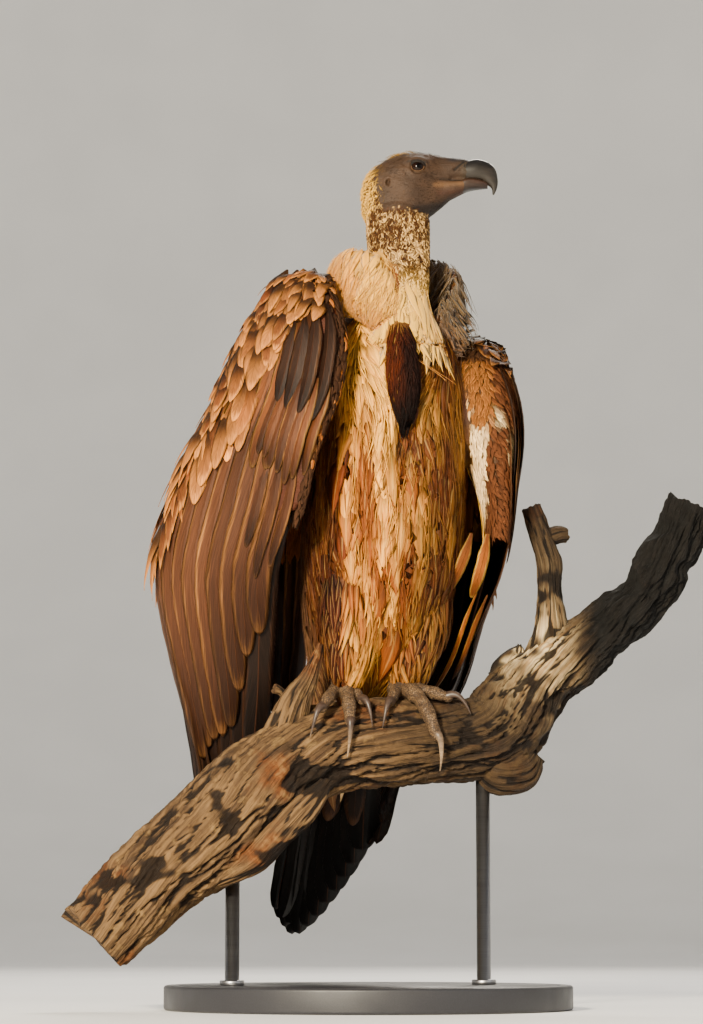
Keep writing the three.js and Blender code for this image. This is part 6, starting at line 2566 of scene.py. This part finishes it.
# ---------------------------------------------------------------- stand
@dataclass
class Stand:
    """A turned base and two upright rods with collars."""

    edge: float = 3.0
    collar: float = 12.0
    collar_height: float = 5.0
    sides: int = 128

    def turned(self, profile: Sequence, middle: Sequence[float]) -> Shape:
        """A profile of radius and height, in metres, turned about the vertical through middle.

        Args:
            profile: Pairs of radius and height.
            middle: Where the vertical stands.
        Returns:
            The closed shape.
        """
        turn = turns(self.sides)
        r, z = np.array(profile, float).T[:, :, None]
        ring = stacked(middle[0] + r * np.cos(turn), middle[1] + r * np.sin(turn), z)
        return outward(tube(ring))

    def dress(self, coated: Material, steel: Material) -> None:
        """Makes the base with its rounded rim and a turned groove, and the rods with their collars.

        Args:
            coated: Finish of the base.
            steel: Finish of the rods.
        """
        low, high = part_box("stand_base")
        radius, top = (high.x - low.x) / 2, high.z
        middle = ((low.x + high.x) / 2, (low.y + high.y) / 2)
        bend = np.linspace(0, np.pi / 2, 8)
        edge = self.edge * MM
        rim_low = [(radius - edge + edge * math.sin(a), edge - edge * math.cos(a)) for a in bend]
        rim_high = [(radius - edge + edge * math.cos(a), top - edge + edge * math.sin(a)) for a in bend]
        groove = radius * 0.93
        profile = [(0.0005, 0), (groove, 0), *rim_low, *rim_high, (groove + 0.0016, top),
                   (groove + 0.0008, top - 0.001),
                   (groove - 0.0008, top - 0.001), (groove - 0.0016, top), (0.0005, top)]
        dress(self.turned(profile, middle).made("base_disc"), coated, "stand_paint", "stand_base")
        for name in ("stand_rod_left", "stand_rod_right"):
            a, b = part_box(name)
            at = ((a.x + b.x) / 2, (a.y + b.y) / 2)
            r = (b.x - a.x) / 2
            ring, tall = self.collar * MM, self.collar_height * MM
            bevel = 0.0008
            profile = [(0.0003, top), (ring - bevel, top), (ring, top + bevel), (ring, top + tall - bevel),
                       (ring - bevel, top + tall), (r, top + tall), (r, b.z + 0.004), (0.0003, b.z + 0.004)]
            dress(self.turned(profile, at).made(f"{name}_turned"), steel, "rod_steel", name)


# ---------------------------------------------------------------- finishes of the bare parts, wood and stand
def skin_finish() -> Material:
    """Bare head skin, and the ground colour under the feathers: carried by the mesh, pored and creased."""
    r = Recipe("skin")
    place = r.place()
    pores = r.noise(place, 900, 3)
    folds = r.noise(r.stretched(place, (1, 1, 3.2)), 160, 3, 0.4)
    blotch = r.step(r.noise(place, 70, 3), 0.3, 0.7, 0.8, 1.22)
    colour = r.dimmed(r.tint("tint"), blotch)
    relief = r.math("ADD", pores, r.math("MULTIPLY", folds, 1.6))
    return r.done(colour, r.step(pores, 0.3, 0.7, 0.55, 0.72), r.bump(relief, 0.0005),
                  Specular_IOR_Level=0.25)


def horn_finish(name: str, dark: Colour, pale: Colour, low: float, high: float) -> Material:
    """Polished horn with growth lines; it turns from pale below low to dark above high, in metres of height.

    Args:
        name: Name of the material.
        dark: Colour above.
        pale: Colour below.
        low: Height where it starts to turn.
        high: Height where it has turned.
    Returns:
        The material.
    """
    r = Recipe(name)
    place = r.place()
    _, _, z = r.parts(place)
    streak = r.noise(r.stretched(place, (90, 90, 420)), 1.0, 3, 0.5)
    wander = r.math("MULTIPLY", r.math("SUBTRACT", r.noise(place, 110, 3), 0.5), 0.006)
    share = r.step(r.math("ADD", z, wander), low, high)
    colour = r.blend(share, pale, dark)
    value = r.step(streak, 0.3, 0.7, 0.72, 1.3)
    colour = r.dimmed(colour, value)
    return r.done(colour, r.step(streak, 0.3, 0.75, 0.34, 0.5), r.bump(streak, 0.0002),
                  Specular_IOR_Level=0.35,
                  Coat_Weight=0.06, Coat_Roughness=0.25)


def scaled_finish() -> Material:
    """Foot skin: brown-grey scales, paler on their crowns, darker between."""
    r = Recipe("scaled_skin")
    place = r.place()
    cell = r.cells(place, 520)
    crown = r.step(cell, 0.02, 0.2)
    blotch = r.noise(place, 120, 3)
    colour = r.blend(crown, paint("2b211a"),
                     r.blend(r.step(blotch, 0.35, 0.65), paint("54432f"), paint("735f47")))
    return r.done(colour, 0.55, r.bump(crown, 0.0005), Specular_IOR_Level=0.4)


def wood_finish() -> Material:
    """Weathered wood.

    Grey-brown ridges, orange-brown, and black painted shade in the cracks and hollows, with fine grain along
    its length. Painted shade also darkens the branch from under the bird on to the fork and blacks out the
    arm beyond it, and a painted highlight pales the fork.
    """
    r = Recipe("dead_wood")
    place = r.place()
    grain_map = r.map("grain")
    fibre = r.noise(r.stretched(grain_map, (520, 26, 1)), 1.0, 4, 0.6)
    strand = r.noise(r.stretched(grain_map, (190, 9, 1)), 1.0, 4, 1.2)
    patch = r.noise(place, 17, 4)
    crust = r.noise(place, 90, 4)
    sunk, _, _ = r.parts(r.tint("sunk"))
    grey = r.blend(r.step(strand, 0.3, 0.7), paint("35291d"), paint("705b41"))
    brown = r.blend(r.step(crust, 0.35, 0.65), paint("2e1c0c"), paint("5c3818"))
    colour = r.blend(r.step(patch, 0.5, 0.68, 0.0, 0.8), grey, brown)
    colour = r.blend(r.step(crust, 0.56, 0.72, 0.0, 0.45), colour, paint("86704e"))
    x, _, _ = r.parts(place)
    # painted shade: the branch darkens from under the bird on to the fork
    colour = r.blend(r.step(x, -0.03, 0.09, 0.0, 0.75), colour, paint("140f0a"))
    # painted highlight: the fork is paled
    colour = r.blend(r.parts(r.tint("painted_fork_light"))[0], colour,
                     r.blend(r.step(strand, 0.3, 0.7), paint("a88a62"),
                                                                   paint("eedab2")))
    colour = r.blend(r.step(fibre, 0.55, 0.8, 0.0, 0.4), colour, paint("3a281a"))
    # painted shade: the cracks and torn hollows are blackened
    colour = r.blend(r.step(sunk, 0.4, 0.85, 0.0, 0.95), colour, paint("0f0905"))
    # painted shade: the arm beyond the fork is made black
    colour = r.blend(r.step(x, 0.2, 0.235, 0.0, 0.95), colour, paint("090807"))
    relief = r.math("ADD", r.math("MULTIPLY", fibre, 0.9),
                    r.math("ADD", strand, r.math("MULTIPLY", crust, 1.1)))
    return r.done(colour, r.step(crust, 0.3, 0.7, 0.8, 0.95), r.bump(relief, 0.0032), Specular_IOR_Level=0.25)


def eye_finish(middles: Sequence[Array]) -> Material:
    """A wet, very dark brown eye with a black pupil.

    Args:
        middles: Both eyes' middles in the head's frame.
    Returns:
        The material.
    """
    r = Recipe("eye")
    place = r.place()
    x, _, z = r.parts(place)
    centre = (HEAD.world(middles[0]) + HEAD.world(middles[1])) / 2
    dx, dz = r.math("SUBTRACT", x, float(centre[0])), r.math("SUBTRACT", z, float(centre[2]))
    off = r.math("SQRT", r.math("ADD", r.math("MULTIPLY", dx, dx), r.math("MULTIPLY", dz, dz)))
    iris = r.blend(r.step(r.noise(place, 1500, 2), 0.3, 0.7), paint("0c0705"), paint("1b0f09"))
    colour = r.blend(r.step(off, 0.0026, 0.0032), paint("030202"), iris)
    return r.done(colour, 0.06, Specular_IOR_Level=0.1, Coat_Weight=0.15, Coat_Roughness=0.02)


def coated_finish() -> Material:
    """Satin charcoal paint with a fine orange-peel texture."""
    r = Recipe("stand_paint")
    peel = r.noise(r.place(), 900, 2)
    return r.done(r.blend(r.step(peel, 0.3, 0.7), paint("232326"), paint("2b2b2f")),
                  r.step(r.noise(r.place(), 30, 3), 0.3, 0.7, 0.38, 0.5), r.bump(peel, 0.00006))


def steel_finish() -> Material:
    """Brushed steel, its scratches round the rod."""
    r = Recipe("rod_steel")
    brushed = r.noise(r.stretched(r.place(), (6, 6, 2600)), 1.0, 3)
    return r.done(r.blend(brushed, paint("8d8d90"), paint("b4b4b6")), r.step(brushed, 0.2, 0.8, 0.28, 0.42),
                  r.bump(brushed, 0.00003), Metallic=1.0)


# ---------------------------------------------------------------- the whole skin
def bird_skin(trunk: Trunk, neck: Neck, head: Head, wings: Sequence[Wing], mantle: Mantle,
              ruff: Ruff) -> None:
    """One skin over trunk, wings, neck and head, its markings the same as the coat's, darkened as painted
    shade.

    Args:
        trunk: Gives the flesh of body and thighs.
        neck: Gives the neck.
        head: Gives the head.
        wings: Give their arms.
        mantle: Gives the back.
        ruff: Gives the ruff's core.
    """
    core = tube(BIRD.world(grid_of(ruff.surface(11), 32, 60)))
    body = fused([*trunk.flesh(), *(wing.flesh() for wing in wings), mantle.flesh(), core, neck.flesh()],
                 0.0047, 6)
    front = head.sculpt(fused([neck.flesh(), *head.flesh()], 0.0012, 12))
    luck = np.random.default_rng(7)
    quiet = speckled(len(body.points), luck, (Shade.RUST, Shade.COVERT),
                     np.tile([1.0, 0.8], (len(body.points), 1)), 0.0)
    p = BIRD.inside(body.points)
    near_crop = bell(p, (80, -20, 318), (26, 18, 48))[:, None]
    breast = body_colours(body.points, luck)[0]
    forward = smooth(-60, 20, p[:, 0])[:, None] * smooth(96, 70, np.abs(p[:, 1]))[:, None]
    # painted shade: the ground colour under the feathers is darkened, so that gaps between feathers read dark
    tint = mix(quiet * 0.35, breast * 0.5, forward)
    tint = mix(tint, Shade.CROP.rgb * 0.5, np.clip(near_crop * 1.6, 0, 1))
    body.tints["tint"] = tint
    q = HEAD.inside(front.points)
    bare = head.skin_colours(q, front.tints.pop("line"))
    downy = down_colours(front.points, luck)[0]
    # painted shade: the skin under the neck's down is darkened too
    front.tints["tint"] = mix(bare, downy * 0.6,
                              head.woolly(q - np.array([0, 0, 3.0])).astype(float)[:, None])
    shape = joined([body, front, *head.lids()])
    dress(shape.made("bird_skin"), skin_finish(), "bare_skin", "trunk", "crop", "neck", "head", "cere",
          "ruff",
          "thigh_right", "thigh_left", "wing_right", "wing_left")


# ---------------------------------------------------------------- stage
@dataclass(frozen=True)
class Studio:
    """A plain pale floor, soft light and the camera."""

    camera_at: tuple[float, float, float] = (-0.0165, -3.0, 0.075)
    camera_tilt: float = 7.9  # degrees above level
    lens: float = 106.5
    sensor: float = 36.0
    level: float = 4.0  # radius of the level floor, in metres
    wall: float = 7.0
    height: float = 6.5

    def floor(self) -> None:
        """A matte floor that curves up into a wall far away on every side.

        Its profile is level, then a quarter round, then upright, and it is turned about the vertical.
        """
        r = Recipe("floor")
        tone = r.step(r.noise(r.place(), 3, 2), 0.3, 0.7, 0.84, 0.88)
        turn = turns(96)
        bend = np.linspace(0, np.pi / 2, 24)
        rise = self.wall - self.level
        radius = np.concatenate([np.linspace(0.02, self.level, 12)[:-1], self.level + rise * np.sin(bend),
                                 [self.wall]])
        height = np.concatenate([np.zeros(11), rise * (1 - np.cos(bend)), [self.height]])
        ring = stacked(radius[:, None] * np.cos(turn), radius[:, None] * np.sin(turn),
                                            height[:, None])
        floor = tube(ring, Ends.OPEN).made("floor")
        floor.data.materials.append(r.done(r.vector(tone, tone, tone), 0.9))

    @staticmethod
    def lamp(name: str, at: Sequence[float], aim: Sequence[float], size: float, power: float,
             colour: Colour) -> None:
        """A soft square lamp at a place, turned to its aim.

        Args:
            name: Its name.
            at: Its place in metres.
            aim: What it points at.
            size: Side of the square in metres.
            power: In watts.
            colour: Its colour.
        """
        light = bpy.data.lights.new(name, "AREA")
        light.size = size
        light.energy = power
        light.color = colour
        lamp = bpy.data.objects.new(name, light)
        lamp.location = at
        lamp.visible_camera = False
        lamp.rotation_euler = (Vector(aim) - Vector(at)).to_track_quat("-Z", "Y").to_euler()
        bpy.context.scene.collection.objects.link(lamp)

    def build(self) -> None:
        """Makes floor, lamps, surrounding light and camera."""
        self.floor()
        world = bpy.data.worlds.new("studio")
        world.use_nodes = True
        world.node_tree.nodes["Background"].inputs[0].default_value = (0.88, 0.92, 1.0, 1)
        world.node_tree.nodes["Background"].inputs[1].default_value = 0.34
        bpy.context.scene.world = world
        self.lamp("key", (-1.05, -2.95, 1.2), (0, 0, 0.5), 0.4, 320, (1.0, 0.88, 0.66))
        self.lamp("fill", (2.4, -1.8, 1.3), (0, 0, 0.5), 1.8, 8, (0.88, 0.93, 1.0))
        self.lamp("back", (0.5, 2.3, 2.6), (0, 0, 0.5), 1.2, 110, (1.0, 0.92, 0.8))
        view = bpy.data.cameras.new("camera")
        view.sensor_width = self.sensor
        view.sensor_height = self.sensor
        view.sensor_fit = "AUTO"
        view.lens = self.lens
        camera = bpy.data.objects.new("camera", view)
        camera.location = self.camera_at
        camera.rotation_euler = (math.radians(90 + self.camera_tilt), 0, 0)
        bpy.context.scene.collection.objects.link(camera)
        bpy.context.scene.camera = camera


# ---------------------------------------------------------------- the whole model
def main() -> None:
    """Builds every sub-assembly in order."""
    logging.basicConfig(level=logging.INFO, format="%(message)s")
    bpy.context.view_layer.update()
    Studio().build()
    body_finish = FeatherFinish("body_feather", barbs=(16.0, 2.0), slant=0.5, contrast=0.3, rim=0.85, tip=0.1,
                                rim_strength=0.8, rachis=paint("e8c582"), rachis_width=0.1,
                                rachis_strength=0.15,
                                root_shade=0.3, shaded=(0.1, 0.6), bump=0.0004).material()
    wisp_finish = FeatherFinish("wisp", barbs=(2.0, 4.0), rim=0.2, rachis_strength=0.0,
                                root_shade=0.8).material()
    plume_finish = FeatherFinish("plume", barbs=(12.0, 2.0), slant=0.4, contrast=0.15, rim=0.6,
                                 rachis_strength=0.0,
                                 root_shade=0.85, roughness=0.8, sheen=0.3).material()
    covert_finish = FeatherFinish("covert", barbs=(2.6, 46.0), contrast=0.3, rim=0.34, tip=0.14,
                                  rim_strength=0.9,
                                  rachis=paint("3b2517"), rachis_width=0.03, rachis_strength=0.4,
                                  root_shade=0.1,
                                  shaded=(0.36, 0.78)).material()
    quill_finish = FeatherFinish("quill", barbs=(5.0, 60.0), slant=0.3, contrast=0.42, rim=0.3, tip=0.03,
                                 rim_strength=0.8, rachis=paint("3c2617"), rachis_width=0.035, root_shade=0.5,
                                 tip_shade=0.35, roughness=0.5).material()
    down_finish = FeatherFinish("down", barbs=(6.0, 4.0), contrast=0.3, rim=0.5, rachis_strength=0.0,
                                root_shade=0.55, roughness=0.85).material()
    horn = horn_finish("bill_horn", paint("09090b"), paint("1c1814"), 0.826, 0.845)
    # painted shadow: the lower bill darkens towards its underside
    pale_horn = horn_finish("lower_horn", paint("261a12"), paint("1a120d"), 0.812, 0.8185)
    claw = horn_finish("claw_horn", paint("3a302a"), paint("8f7c66"), 0.245, 0.275)
    head, trunk, neck, ruff, mantle = Head(), Trunk(), Neck(), Ruff(), Mantle()
    wings = (RIGHT_WING, LEFT_WING)
    bird_skin(trunk, neck, head, wings, mantle, ruff)
    trunk.dress(body_finish, wisp_finish, down_finish)
    for wing in wings:
        wing.dress(covert_finish, quill_finish, down_finish)
    mantle.dress(covert_finish)
    Tail().dress(quill_finish, covert_finish)
    ruff.dress(plume_finish)
    neck.dress(down_finish, plume_finish)
    head.dress(down_finish, horn, pale_horn, eye_finish(head.eyes()))
    for foot in FEET:
        foot.dress(scaled_finish(), claw)
    Perch().dress(wood_finish())
    Stand().dress(coated_finish(), steel_finish())


if __name__ == "__main__":
    main()
